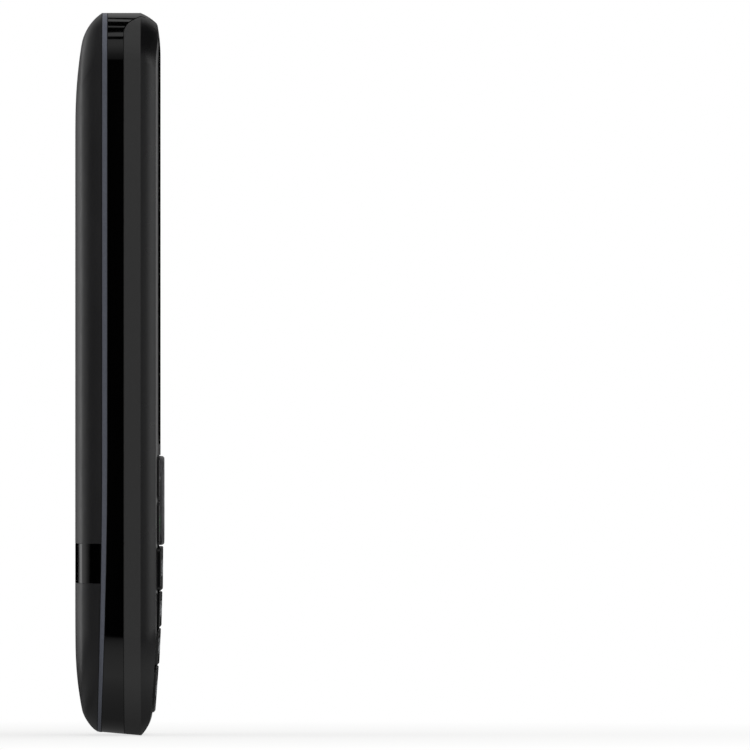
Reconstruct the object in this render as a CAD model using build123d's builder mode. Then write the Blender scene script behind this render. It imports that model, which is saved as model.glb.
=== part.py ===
from build123d import *

import os
from math import asin, cos, degrees, radians, sin, sqrt, tan

# Bar phone with a torch in its top end. Millimetres, +Z up along it, front towards -Y, user's right +X.
# A depth is measured backwards from the front plane.

# Outer size
LENGTH = 115.3
WIDTH = 49.15
THICKNESS = 13.45
TOP_CORNER = 7.5
BOTTOM_CORNER = 16.5
BOTTOM_SLANT = 5.0
TOP_TIGHTENING = 0.1
BOTTOM_TIGHTENING = 0.52
CORNER_SPARE = 0.6
MARGIN = 2.0

# Layers seen from the side, as depths
CREASE = 2.93
BAND_START = 5.65
TRIM_START = 8.13
TRIM_WIDTH = 0.88
TRIM_WIDTH_AT_END = 0.64
TRIM_DRIFT = 1.12
TRIM_DRIFT_FROM = 45.0
SEAM = 0.12
WALL = 1.3
COVER_WALL = 0.95

# Front face
CHAMFER_IN = 2.05
CHAMFER_BULGE = 0.2
CHAMFER_STEPS = 3
CROWN_RUN = 7.0
CROWN_RADIUS = 31.0
SWEEP_FROM = 33.0
SWEEP_RADIUS = 336.0
CHIN_HEIGHT = 4.0
CHIN_BULGE = 0.44
FRONT_WALL = 2.1

# Back face, two arcs from the flat middle to the trim
BACK_RADIUS = 75.3
BACK_REACH = 17.6
BACK_TURN = 9.5
BACK_FLAT_TURN = 1.6
EDGE_RADIUS = 7.74
EDGE_STEPS = 4
BACK_STEPS = 2
BOTTOM_PULL = 0.83
BOTTOM_PULL_FROM = 0.6

# Cap over the top end
CAP_HEIGHT = 3.1
HORN_FLAT = 1.6
HORN_REACH = 11.2
HORN_OUTER_PULL = 2.5
HORN_INNER_PULL = 6.4
HORN_TILT = 0.5
HORN_FRONT = 0.2

# Torch
LENS_LENGTH = 23.7
LENS_WIDTH = 3.73
LENS_DEPTH = 5.44
LENS_GAP = 0.2
LENS_FLANGE = 0.58
LENS_FLANGE_HEIGHT = 0.75
GUIDE_LENGTH = 20.0
GUIDE_WIDTH = 2.2
GUIDE_HEIGHT = 1.8
LAMP_SIZE = (2.4, 2.0, 0.8)
LAMP_PITCH = 8.0
LAMP_COUNT = 3
LAMP_GAP = 0.15
TORCH_BOARD = (22.0, 3.0, 0.8)

# Window and display
WINDOW_SIDE_BORDER = 4.175
WINDOW_BOTTOM = 46.6
WINDOW_TOP_BORDER = 3.9
WINDOW_THICKNESS = 1.0
WINDOW_TOP_CORNER = 4.5
WINDOW_BOTTOM_CORNER = 2.0
WINDOW_GAP = 0.06
DISPLAY_SIDE_BORDER = 3.5
DISPLAY_BOTTOM_BORDER = 7.85
DISPLAY_TOP_BORDER = 11.85
DISPLAY_BORDER = 0.85
LEDGE = 0.45
GASKET_THICKNESS = 0.22
PANEL_MARGIN = 1.6
PANEL_THICKNESS = 1.2
FRAME_WALL = 0.3
FRAME_THICKNESS = 1.8
FLEX_SIZE = (14.0, 6.0, 0.12)
FLEX_CONNECTOR = (12.0, 2.4)

# Earpiece
EARPIECE_DOWN = 4.2
EARPIECE_SLOT = (12.0, 1.4)
EARPIECE_RIM = 0.7
EARPIECE_MESH = 0.2
RECEIVER_SIZE = (10.0, 6.0, 1.55)
RECEIVER_CORNER = 1.2

# Keys
KEY_MARGIN = 3.2
KEY_GAP = 0.15
KEY_ROWS = (30.1, 23.0, 17.1, 11.1, 3.7)
KEY_NAMES = (
    ("key_1", "key_2", "key_3"),
    ("key_4", "key_5", "key_6"),
    ("key_7", "key_8", "key_9"),
    ("key_star", "key_0", "key_hash"),
)
KEY_PROUD = 0.46
KEY_STEP = 0.08
KEY_EDGE = 0.22
KEY_CORNER = 0.7
KEY_CORNER_SHARE = 0.4
KEY_TRAVEL = 0.3
CAP_BACK = 2.35
NAV_HEIGHT = 14.2
NAV_WIDTH = 16.6
NAV_CORNER = 3.2
NAV_PROUD = 0.7
NAV_EDGE = 0.4
NAV_DOME_ACROSS = 5.6
NAV_DOME_ALONG = 4.7
OK_RADIUS = 3.4
OK_PROUD = 0.55
FLANK_PROUD = 0.12
PLUNGER_RADIUS = 1.1
PLUNGER_GAP = 0.12
PLUNGER_SINK = 0.25
PRESS_CLEARANCE = 0.08
MAT_THICKNESS = 0.6
MAT_INSET = 3.4
MAT_OVER = 1.0
DOME_RADIUS = 1.9
DOME_HEIGHT = 0.2
DOME_SHEET = 0.18
DOME_TAPER = 45

# Main board
BOARD_THICKNESS = 1.0
BOARD_INSET = 2.2
BOARD_DOWN = 7.3
PIECE_GAP = 0.05
SHIELD_HEIGHT = 1.4
SHIELD_WALL = 0.2
SHIELD_WIDTHS = (30.0, 36.0)
SHIELD_BELOW_TOP = 4.0
SHIELD_ABOVE_CARD = 3.5
LOWER_SHIELD_CENTRE = 25.0
LOWER_SHIELD_HEIGHT = 12.0
SOCKET_HEIGHT = 1.45
SOCKET_WALL = 0.3
SIM_SIZE = (15.6, 16.5)
SIM_CENTRES = ((-8.8, 50.25), (8.8, 50.25))
CARD_SIZE = (14.6, 14.5)
CARD_CENTRE = (0.0, 69.25)

# Chassis and its screws
CHASSIS_FRONT = 6.5
CHASSIS_PLATE = 0.7
CHASSIS_DOWN = 6.1
FIT = 0.2
SOCKET_WINDOW = (34.4, 35.5)
SOCKET_WINDOW_CENTRE = 59.25
BAY_WALL = 1.2
BAY_BACK = 11.0
SCREW_IN = 3.675
SCREW_HEIGHT = 48.2
SCREW_DOWN = 9.8
BOSS_RADIUS = 1.7
SCREW_RADIUS = 0.6
SCREW_LENGTH = 3.6
SCREW_HEAD_RADIUS = 1.25
SCREW_HEAD_HEIGHT = 0.65
SCREW_SLOT = 0.3

# Battery
BATTERY_THICKNESS = 4.5
BATTERY_BOTTOM = 35.0
BATTERY_SIDE_BORDER = 7.575
BAY_TO_ANTENNA = 1.8
BATTERY_GAP = 0.3
BATTERY_EDGE = 0.6
CONNECTOR_SIZE = (9.0, 1.7, 2.5)
CONTACT_COUNT = 3
CONTACT_PITCH = 2.6
CONTACT_SIZE = (0.8, 1.4)

# Loudspeaker and the gloss strip over it
STRIP_CENTRE = 27.53
STRIP_HEIGHT = 6.25
STRIP_THICKNESS = 0.5
SPEAKER_SIZE = (16.0, 11.0, 3.0)
SPEAKER_CENTRE = 27.2
SPEAKER_CORNER = 1.5
SPEAKER_GASKET_WALL = 1.3
SPEAKER_GASKET_BACK = 12.1
SLOT_SIZE = (0.9, 3.4)
SLOT_PITCH = 2.1
SLOT_COUNT = 5

# Vibration motor
MOTOR_RADIUS = 1.75
MOTOR_LENGTH = 7.5
MOTOR_START = 5.5
MOTOR_HEIGHT = 13.0
WEIGHT_RADIUS = 1.7
WEIGHT_LENGTH = 3.0
WEIGHT_GAP = 0.35
SHAFT_RADIUS = 0.35
SHAFT_GAP = 0.05
SHAFT_SEAT = 2.0
CRADLE_SIZE = (6.0, 4.4)

# Antenna
ANTENNA_SIZE = (32.0, 16.0, 3.1)
ANTENNA_DOWN = 16.0
ANTENNA_WALL = 0.9
ANTENNA_PLATE = 0.2
ANTENNA_BORDER = 1.0
ANTENNA_SLOT = (20.0, 2.0)

# Sockets in the bottom end
JACK_ACROSS = -5.6
JACK_DEPTH = 6.35
JACK_RADIUS = 1.8
JACK_BORE = 12.9
JACK_BODY = (6.0, 4.6)
JACK_NOSE_RADIUS = 2.2
JACK_NOSE_LENGTH = 2.4
JACK_END_WALL = 1.0
USB_ACROSS = 4.6
USB_SIZE = (7.5, 2.55, 5.4)
USB_WALL = 0.3
USB_TONGUE = (5.0, 0.55)
SOCKET_RECESS = 0.5
OPENING_GAP = 0.15
MIC_ACROSS = -1.1
MIC_SIZE = (2.6, 2.6, 1.4)
MIC_HOLE = 0.4
MIC_BOTTOM = 2.4

# Cover hooks
HOOK_HEIGHTS = (22.0, 56.0, 90.0)
HOOK_LENGTH = 5.0
HOOK_THICKNESS = 0.9
HOOK_REACH = 1.0
HOOK_CLEAR = 0.9

# Places worked out from the sizes above
FRONT_Y = NAV_PROUD - (THICKNESS + NAV_PROUD) / 2
HALF = WIDTH / 2
COVER_START = TRIM_START + TRIM_WIDTH
COVER_DRIFT = TRIM_DRIFT + TRIM_WIDTH_AT_END - TRIM_WIDTH
CAP_START = LENGTH - CAP_HEIGHT
ROOF = LENGTH - WALL
WINDOW_WIDTH = WIDTH - 2 * WINDOW_SIDE_BORDER
WINDOW_TOP = LENGTH - WINDOW_TOP_BORDER
DISPLAY_WIDTH = WINDOW_WIDTH - 2 * DISPLAY_SIDE_BORDER
DISPLAY_BOTTOM = WINDOW_BOTTOM + DISPLAY_BOTTOM_BORDER
DISPLAY_HEIGHT = WINDOW_TOP - DISPLAY_TOP_BORDER - DISPLAY_BOTTOM
DISPLAY_CENTRE = DISPLAY_BOTTOM + DISPLAY_HEIGHT / 2
EARPIECE_CENTRE = WINDOW_TOP - EARPIECE_DOWN
WINDOW_BACK = WINDOW_THICKNESS + PIECE_GAP
LEDGE_BACK = WINDOW_BACK + LEDGE
FRAME_FRONT = LEDGE_BACK + GASKET_THICKNESS + PIECE_GAP
FRAME_WIDTH = DISPLAY_WIDTH + 2 * (PANEL_MARGIN + FRAME_WALL + PIECE_GAP)
FRAME_HEIGHT = DISPLAY_HEIGHT + 2 * (PANEL_MARGIN + FRAME_WALL + PIECE_GAP)
FRAME_BACK = FRAME_FRONT + FRAME_THICKNESS
NAV_BOTTOM = KEY_ROWS[0] + 2 * KEY_GAP
NAV_CENTRE = NAV_BOTTOM + NAV_HEIGHT / 2
NAV_TOP = NAV_BOTTOM + NAV_HEIGHT
KEYS_HALF = HALF - KEY_MARGIN - KEY_GAP
KEY_WIDTH = (2 * KEYS_HALF - 4 * KEY_GAP) / 3
FLANK_INNER = NAV_WIDTH / 2 + 2 * KEY_GAP
FLANK_WIDTH = KEYS_HALF - FLANK_INNER
FLANK_HEIGHT = NAV_HEIGHT / 2 - KEY_GAP
FLANK_ACROSS = FLANK_INNER + FLANK_WIDTH / 2
MAT_FRONT = CAP_BACK + KEY_TRAVEL + 2 * PIECE_GAP
MAT_BACK = MAT_FRONT + MAT_THICKNESS
MAT_TOP = NAV_TOP + MAT_OVER
PLUNGER_END = MAT_BACK - PLUNGER_SINK
DOME_TOP = PLUNGER_END + KEY_TRAVEL + PRESS_CLEARANCE
DOME_FRONT = DOME_TOP + DOME_HEIGHT
BOARD_FRONT = DOME_FRONT + DOME_SHEET + PIECE_GAP
BOARD_BACK = BOARD_FRONT + BOARD_THICKNESS
BOARD_PIECES = BOARD_BACK + PIECE_GAP
CHASSIS_BACK = CHASSIS_FRONT + CHASSIS_PLATE
ON_CHASSIS = CHASSIS_BACK + PIECE_GAP
BOARD_TOP = LENGTH - BOARD_DOWN
CHASSIS_TOP = LENGTH - CHASSIS_DOWN
SCREW_X = HALF - SCREW_IN
SCREW_POINTS = [(side * SCREW_X, z) for z in (SCREW_HEIGHT, LENGTH - SCREW_DOWN) for side in (-1, 1)]
SHIELD_BOTTOM = CARD_CENTRE[1] + CARD_SIZE[1] / 2 + SHIELD_ABOVE_CARD
SHIELD_TOP = BOARD_TOP - SHIELD_BELOW_TOP
SHIELDS = (
    (SHIELD_WIDTHS[0], (SHIELD_BOTTOM + SHIELD_TOP) / 2, SHIELD_TOP - SHIELD_BOTTOM),
    (SHIELD_WIDTHS[1], LOWER_SHIELD_CENTRE, LOWER_SHIELD_HEIGHT),
)
ANTENNA_CENTRE = LENGTH - ANTENNA_DOWN
BAY_TOP = ANTENNA_CENTRE - ANTENNA_SIZE[1] / 2 - BAY_TO_ANTENNA
BATTERY_HEIGHT = BAY_TOP - BAY_WALL - BATTERY_GAP - BATTERY_BOTTOM
BATTERY_SIZE = (WIDTH - 2 * BATTERY_SIDE_BORDER, BATTERY_HEIGHT, BATTERY_THICKNESS)
BATTERY_CENTRE = BATTERY_BOTTOM + BATTERY_HEIGHT / 2
BAY_INNER = (BATTERY_SIZE[0] + 2 * BATTERY_GAP, BATTERY_SIZE[1] + 2 * BATTERY_GAP)
BAY_OUTER = (BAY_INNER[0] + 2 * BAY_WALL, BAY_INNER[1] + 2 * BAY_WALL)
MOTOR_DEPTH = ON_CHASSIS + MOTOR_RADIUS + FIT
SPEAKER_BACK = ON_CHASSIS + SPEAKER_SIZE[2]
USB_DEPTH = BOARD_PIECES + USB_SIZE[1] / 2
MIC_DEPTH = BOARD_PIECES + MIC_SIZE[2] - MIC_HOLE
JACK_NOTCH = (JACK_BODY[0] + 2 * FIT, SOCKET_RECESS + JACK_BORE + JACK_END_WALL + FIT)
USB_NOTCH = (USB_SIZE[0] + 2 * FIT, SOCKET_RECESS + USB_SIZE[2] + FIT)


def front_plane(depth):
    """Plane across the phone at a depth, looking out of the front, with +Z as its own up."""
    return Plane.XZ.offset(-(FRONT_Y + depth))


def arc_drop(radius, run):
    """How far a circle has dropped from its tangent after a run along it."""
    return radius - sqrt(radius**2 - run**2)


def sweep_depth(height):
    """Depth of the front face at a height."""
    return arc_drop(SWEEP_RADIUS, max(0.0, SWEEP_FROM - height))


def back_edge(turn, wall):
    """Inset from the outline and depth of the back face, or of a wall under it, where it slopes by a turn."""
    slope = radians(turn)
    crown = min(slope, radians(BACK_TURN))
    flat = radians(BACK_FLAT_TURN)
    inset = BACK_REACH - (BACK_RADIUS - EDGE_RADIUS) * sin(crown) - EDGE_RADIUS * sin(slope)
    drop = (BACK_RADIUS - EDGE_RADIUS) * (1 - cos(crown)) + EDGE_RADIUS * (1 - cos(slope))
    drop -= BACK_RADIUS * (1 - cos(flat))
    return inset, wall * sin(slope), THICKNESS - drop - wall * cos(slope)


EDGE_TURN = degrees(asin((BACK_REACH - (BACK_RADIUS - EDGE_RADIUS) * sin(radians(BACK_TURN))) / EDGE_RADIUS))
SHOULDER = back_edge(EDGE_TURN, 0)[2]
EDGE_TURNS = [EDGE_TURN + (BACK_TURN - EDGE_TURN) * step / EDGE_STEPS for step in range(EDGE_STEPS + 1)]
CROWN_TURNS = [BACK_TURN + (BACK_FLAT_TURN - BACK_TURN) * step / BACK_STEPS for step in range(BACK_STEPS + 1)]


def bottom_height(depth):
    """Height of the slanted bottom end at a depth."""
    return max(0.0, min(depth, SHOULDER) - CREASE) * tan(radians(BOTTOM_SLANT))


def chamfer_edge(share):
    """Depth and inset of the bulging chamfer, a share of the way from the front plane to the crease."""
    bulge = 4 * CHAMFER_BULGE * share * (1 - share) / sqrt(CREASE**2 + CHAMFER_IN**2)
    return CREASE * share - CHAMFER_IN * bulge, CHAMFER_IN * (1 - share) - CREASE * bulge


def draw_outline(depth, inset, wall=0.0):
    """Face of the phone's outline at a depth, drawn in from the full outline by an inset and a wall."""
    if depth > CREASE:
        bottom = bottom_height(depth) + BOTTOM_PULL * max(0.0, inset - BOTTOM_PULL_FROM) + wall
    else:
        bottom = inset + wall
    side = HALF - inset - wall
    top = LENGTH - inset - wall
    top_radius = TOP_CORNER - TOP_TIGHTENING * inset - wall
    bottom_radius = min(BOTTOM_CORNER - BOTTOM_TIGHTENING * inset - wall, side - CORNER_SPARE)
    with BuildLine() as outline:
        FilletPolyline(
            (-side, bottom),
            (side, bottom),
            (side, top),
            (-side, top),
            radius=[bottom_radius, bottom_radius, top_radius, top_radius],
            close=True,
        )
    make_face(outline.edges())


def draw_window(gap):
    """Face of the display window, with a gap around it."""
    side = WINDOW_WIDTH / 2 + gap
    bottom_radius = WINDOW_BOTTOM_CORNER + gap
    top_radius = WINDOW_TOP_CORNER + gap
    with BuildLine() as outline:
        FilletPolyline(
            (-side, WINDOW_BOTTOM - gap),
            (side, WINDOW_BOTTOM - gap),
            (side, WINDOW_TOP + gap),
            (-side, WINDOW_TOP + gap),
            radius=[bottom_radius, bottom_radius, top_radius, top_radius],
            close=True,
        )
    make_face(outline.edges())


def body_solid(wall, front):
    """The phone's body from a front depth to the back, or drawn in by a wall, then with a flat chamfer."""
    if wall:
        edges = [(front, CHAMFER_IN * (CREASE - front) / CREASE), (CREASE, 0.0)]
    else:
        edges = [chamfer_edge(step / CHAMFER_STEPS) for step in range(CHAMFER_STEPS + 1)]
    with BuildPart() as body:
        for depth, inset in edges:
            with BuildSketch(front_plane(depth)):
                draw_outline(depth, inset, wall)
        loft(ruled=wall > 0)
        shoulder = back_edge(EDGE_TURN, wall)[2]
        for depth in (CREASE, shoulder):
            with BuildSketch(front_plane(depth)):
                inset = wall if depth == CREASE else back_edge(EDGE_TURN, wall)[1]
                draw_outline(depth, 0.0, inset)
        loft(ruled=True)
        for turns in (EDGE_TURNS, CROWN_TURNS):
            for turn in turns:
                inset, inner, depth = back_edge(turn, wall)
                with BuildSketch(front_plane(depth)):
                    draw_outline(depth, inset, inner)
            loft()
    return body.part


def front_profiles():
    """Everything behind the front's crown, sweep and chin, as two solids to keep."""
    full_run = CROWN_RUN + MARGIN
    half_run = full_run / 2
    drops = [arc_drop(CROWN_RADIUS, run) for run in (half_run, full_run)]
    top = LENGTH + MARGIN
    side_x = HALF + MARGIN
    with BuildPart() as side_view:
        with BuildSketch(Plane.YZ):
            with BuildLine():
                crown_start = LENGTH - CROWN_RUN
                Line((FRONT_Y, SWEEP_FROM), (FRONT_Y, crown_start))
                ThreePointArc(
                    (FRONT_Y, crown_start),
                    (FRONT_Y + drops[0], crown_start + half_run),
                    (FRONT_Y + drops[1], top),
                )
                back = FRONT_Y + THICKNESS + MARGIN
                crease = (FRONT_Y + CREASE, 0)
                Polyline(
                    (FRONT_Y + drops[1], top),
                    (back, top),
                    (back, -MARGIN),
                    (crease[0], -MARGIN),
                    crease,
                )
                chin = (FRONT_Y + sweep_depth(CHIN_HEIGHT), CHIN_HEIGHT)
                SagittaArc(crease, chin, CHIN_BULGE)
                middle = (CHIN_HEIGHT + SWEEP_FROM) / 2
                ThreePointArc(chin, (FRONT_Y + sweep_depth(middle), middle), (FRONT_Y, SWEEP_FROM))
            make_face()
        extrude(amount=WIDTH, both=True)
    with BuildPart() as end_view:
        with BuildSketch(Plane.XY.offset(-MARGIN)):
            with BuildLine():
                for side in (-1, 1):
                    ThreePointArc(
                        (side * (HALF - CROWN_RUN), FRONT_Y),
                        (side * (HALF - CROWN_RUN + half_run), FRONT_Y + drops[0]),
                        (side * side_x, FRONT_Y + drops[1]),
                    )
                Line((CROWN_RUN - HALF, FRONT_Y), (HALF - CROWN_RUN, FRONT_Y))
                edge = FRONT_Y + drops[1]
                Polyline((-side_x, edge), (-side_x, back), (side_x, back), (side_x, edge))
            make_face()
        extrude(amount=LENGTH + 2 * MARGIN)
    return side_view.part, end_view.part


def draw_drift(depth, drift, start, end):
    """Boundary between two layers, straight above and drifting backwards towards the bottom end."""
    radius = (TRIM_DRIFT_FROM**2 + drift**2) / (2 * drift)
    middle = (start + end) / 2
    points = [(FRONT_Y + depth + arc_drop(radius, TRIM_DRIFT_FROM - z), z) for z in (start, middle, end)]
    ThreePointArc(*points)
    return points[0], points[-1]


def layer(start, start_drift, end, end_drift):
    """Slab across the phone between two depths, each with its own drift."""
    top = LENGTH + MARGIN
    rings = []
    with BuildPart() as slab:
        with BuildSketch(Plane.YZ):
            with BuildLine():
                for depth, drift in ((start, start_drift), (end, end_drift)):
                    if drift:
                        upper, lower = draw_drift(depth, drift, TRIM_DRIFT_FROM, -MARGIN)
                        Line((upper[0], top), upper)
                    else:
                        lower = (FRONT_Y + depth, -MARGIN)
                        Line((lower[0], top), lower)
                    rings.append(((FRONT_Y + depth, top), lower))
                Line(rings[0][0], rings[1][0])
                Line(rings[0][1], rings[1][1])
            make_face()
        extrude(amount=WIDTH, both=True)
    return slab.part


def cap_region(gap):
    """Space that the top cap takes out of the front case, with a seam around it."""
    outer = HALF - HORN_FLAT + gap
    inner = HALF - HORN_REACH + gap
    band = FRONT_Y + BAND_START - gap
    front = FRONT_Y + HORN_FRONT - gap
    edge = HALF + MARGIN
    with BuildPart() as region:
        with BuildSketch(Plane.XY.offset(CAP_START - gap)):
            with BuildLine():
                for side in (-1, 1):
                    Bezier(
                        (side * outer, band),
                        (side * (outer - HORN_OUTER_PULL), band - HORN_TILT),
                        (side * (inner + HORN_INNER_PULL), front),
                        (side * inner, front),
                    )
                    Line((side * inner, front), (side * inner, front - MARGIN))
                    Polyline((side * outer, band), (side * edge, band), (side * edge, band + MARGIN))
                Line((-inner, front - MARGIN), (inner, front - MARGIN))
                Line((-edge, band + MARGIN), (edge, band + MARGIN))
            make_face()
        extrude(amount=LENGTH)
    return region.part


def strip_zone(gap):
    """Outer skin of the back between the strip's two edges, open towards the outside."""
    inner = body_solid(STRIP_THICKNESS + gap, CREASE - PIECE_GAP)
    height = STRIP_HEIGHT + 2 * gap
    with BuildPart() as zone:
        with BuildSketch(Plane.XY.offset(STRIP_CENTRE - height / 2)):
            Rectangle(WIDTH + MARGIN, 2 * THICKNESS + MARGIN)
        extrude(amount=height)
        add(inner, mode=Mode.SUBTRACT)
    return zone.part


def finish(builder, name):
    """Name a finished piece and write it."""
    builder.part.label = name
    export_step(builder.part, "parts/" + name + ".step")


def block(size, centre, front, corner=0.0, edge=0.0):
    """Flat block of a width and height, standing backwards from a depth by its thickness."""
    with BuildPart() as piece:
        with BuildSketch(front_plane(front + size[2])):
            with Locations(centre):
                if corner:
                    RectangleRounded(size[0], size[1], corner)
                else:
                    Rectangle(size[0], size[1])
        extrude(amount=size[2])
        if edge:
            fillet(piece.edges(), edge)
    return piece


def recess(centre, width, height, front, back, corner=0.0):
    """Cut a block-shaped hole between two depths out of the piece that is being built."""
    with BuildSketch(front_plane(back)) as opening:
        with Locations(centre):
            if corner:
                RectangleRounded(width, height, corner)
            else:
                Rectangle(width, height)
    extrude(opening.sketch, amount=back - front, mode=Mode.SUBTRACT)


def cut_mouths():
    """Cut the socket mouths and the microphone hole out of the bottom end of the piece being built."""
    with BuildSketch(Plane.XY.offset(-MARGIN)) as mouths:
        with Locations((JACK_ACROSS, FRONT_Y + JACK_DEPTH)):
            Circle(JACK_NOSE_RADIUS + PIECE_GAP)
        with Locations((USB_ACROSS, FRONT_Y + USB_DEPTH)):
            Rectangle(USB_SIZE[0] + 2 * OPENING_GAP, USB_SIZE[1] + 2 * OPENING_GAP)
        with Locations((MIC_ACROSS, FRONT_Y + MIC_DEPTH)):
            Circle(MIC_HOLE)
    extrude(mouths.sketch, amount=2 * MARGIN, mode=Mode.SUBTRACT)


def draw_slots():
    """Row of rounded sound slots over the loudspeaker."""
    with GridLocations(SLOT_PITCH, 1, SLOT_COUNT, 1):
        SlotOverall(SLOT_SIZE[1], SLOT_SIZE[0], rotation=90)


os.makedirs("parts", exist_ok=True)

# Shared solids
side_view, end_view = front_profiles()
outer_body = body_solid(0.0, 0.0)
inner_body = body_solid(WALL, FRONT_WALL)
cover_inner = body_solid(COVER_WALL, FRONT_WALL)
front_layer = layer(-MARGIN, 0, BAND_START - SEAM, 0)
band_layer = layer(BAND_START, 0, TRIM_START, TRIM_DRIFT)
trim_layer = layer(TRIM_START + SEAM, TRIM_DRIFT, COVER_START, COVER_DRIFT)
cover_layer = layer(COVER_START + SEAM, COVER_DRIFT, THICKNESS + MARGIN, 0)
cap_space = cap_region(0.0)
cap_clearance = cap_region(SEAM)
strip_space = strip_zone(0.0)
strip_clearance = strip_zone(PIECE_GAP)

with BuildPart() as hull:
    add(outer_body)
    add(side_view, mode=Mode.INTERSECT)
    add(end_view, mode=Mode.INTERSECT)
hull_body = hull.part

# Keys: each one is a cap with its plungers, and its dome lies behind every plunger
key_cells = []
for row, names in enumerate(KEY_NAMES):
    upper, lower = KEY_ROWS[row], KEY_ROWS[row + 1]
    gap = 0.0 if row == 0 else KEY_GAP
    floor = 0.0 if row == len(KEY_NAMES) - 1 else KEY_GAP
    top, bottom = upper - gap, lower + floor
    for column, name in enumerate(names):
        across = (column - 1) * (KEY_WIDTH + 2 * KEY_GAP)
        faces = (
            sweep_depth(upper) - KEY_PROUD + KEY_STEP / 2,
            sweep_depth(lower) - KEY_PROUD - KEY_STEP / 2,
        )
        key_cells.append((name, across, (top + bottom) / 2, KEY_WIDTH, top - bottom, faces))
for side, names in ((-1, ("soft_left", "call_key")), (1, ("soft_right", "end_key"))):
    for level, name in zip((1, -1), names):
        height = NAV_CENTRE + level * (FLANK_HEIGHT / 2 + KEY_GAP)
        cell = (name, side * FLANK_ACROSS, height, FLANK_WIDTH, FLANK_HEIGHT, (-FLANK_PROUD, -FLANK_PROUD))
        key_cells.append(cell)

dome_points = []
for name, across, height, width, tall, faces in key_cells:
    dome_points.append((across, height))
    with BuildPart() as key:
        with BuildSketch(front_plane(CAP_BACK)) as cell:
            draw_outline(CREASE, KEY_MARGIN + KEY_GAP)
            with Locations((across, height)):
                Rectangle(width, tall, mode=Mode.INTERSECT)
            if len(cell.vertices()) == 4:
                shortest = min(edge.length for edge in cell.edges())
                fillet(cell.vertices(), min(KEY_CORNER, shortest * KEY_CORNER_SHARE))
        extrude(amount=CAP_BACK + MARGIN)
        top, bottom = height + tall / 2 + MARGIN, height - tall / 2 - MARGIN
        lean = (faces[1] - faces[0]) / tall
        back = FRONT_Y + CAP_BACK
        with BuildSketch(Plane.YZ):
            with BuildLine():
                Polyline(
                    (back, top),
                    (FRONT_Y + faces[0] - lean * MARGIN, top),
                    (FRONT_Y + faces[1] + lean * MARGIN, bottom),
                    (back, bottom),
                    close=True,
                )
            make_face()
        extrude(amount=WIDTH, both=True, mode=Mode.INTERSECT)
        fillet(key.faces().sort_by(Axis.Y)[0].edges(), KEY_EDGE)
        with BuildSketch(front_plane(PLUNGER_END)):
            with Locations((across, height)):
                Circle(PLUNGER_RADIUS)
        extrude(amount=PLUNGER_END - CAP_BACK)
    finish(key, name)

nav_points = [(-NAV_DOME_ACROSS, NAV_CENTRE), (NAV_DOME_ACROSS, NAV_CENTRE)]
nav_points += [(0, NAV_CENTRE - NAV_DOME_ALONG), (0, NAV_CENTRE + NAV_DOME_ALONG)]
with BuildPart() as nav_ring:
    with BuildSketch(front_plane(CAP_BACK)):
        with Locations((0, NAV_CENTRE)):
            RectangleRounded(NAV_WIDTH, NAV_HEIGHT, NAV_CORNER)
            Circle(OK_RADIUS + KEY_GAP, mode=Mode.SUBTRACT)
    extrude(amount=CAP_BACK + NAV_PROUD)
    fillet(nav_ring.faces().sort_by(Axis.Y)[0].outer_wire().edges(), NAV_EDGE)
    fillet(nav_ring.faces().sort_by(Axis.Y)[0].inner_wires()[0].edges(), KEY_EDGE)
    with BuildSketch(front_plane(PLUNGER_END)):
        with Locations(*nav_points):
            Circle(PLUNGER_RADIUS)
    extrude(amount=PLUNGER_END - CAP_BACK)
finish(nav_ring, "nav_ring")

with BuildPart() as ok_key:
    with BuildSketch(front_plane(CAP_BACK)):
        with Locations((0, NAV_CENTRE)):
            Circle(OK_RADIUS)
    extrude(amount=CAP_BACK + OK_PROUD)
    fillet(ok_key.faces().sort_by(Axis.Y)[0].edges(), KEY_EDGE)
    with BuildSketch(front_plane(PLUNGER_END)):
        with Locations((0, NAV_CENTRE)):
            Circle(PLUNGER_RADIUS)
    extrude(amount=PLUNGER_END - CAP_BACK)
finish(ok_key, "ok_key")

dome_points += nav_points + [(0, NAV_CENTRE)]

with BuildPart() as keypad_mat:
    with BuildSketch(front_plane(MAT_BACK)):
        draw_outline(CREASE, MAT_INSET)
        with Locations((0, MAT_TOP)):
            Rectangle(WIDTH, LENGTH, align=(Align.CENTER, Align.MIN), mode=Mode.SUBTRACT)
        with Locations(*dome_points):
            Circle(PLUNGER_RADIUS + PLUNGER_GAP, mode=Mode.SUBTRACT)
    extrude(amount=MAT_THICKNESS)
finish(keypad_mat, "keypad_mat")

with BuildPart() as dome_sheet:
    with BuildSketch(front_plane(DOME_FRONT + DOME_SHEET)):
        draw_outline(CREASE, MAT_INSET)
        with Locations((0, MAT_TOP)):
            Rectangle(WIDTH, LENGTH, align=(Align.CENTER, Align.MIN), mode=Mode.SUBTRACT)
    extrude(amount=DOME_SHEET)
    with BuildSketch(front_plane(DOME_FRONT)):
        with Locations(*dome_points):
            Circle(DOME_RADIUS)
    extrude(amount=DOME_HEIGHT, taper=DOME_TAPER)
finish(dome_sheet, "dome_sheet")

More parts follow.
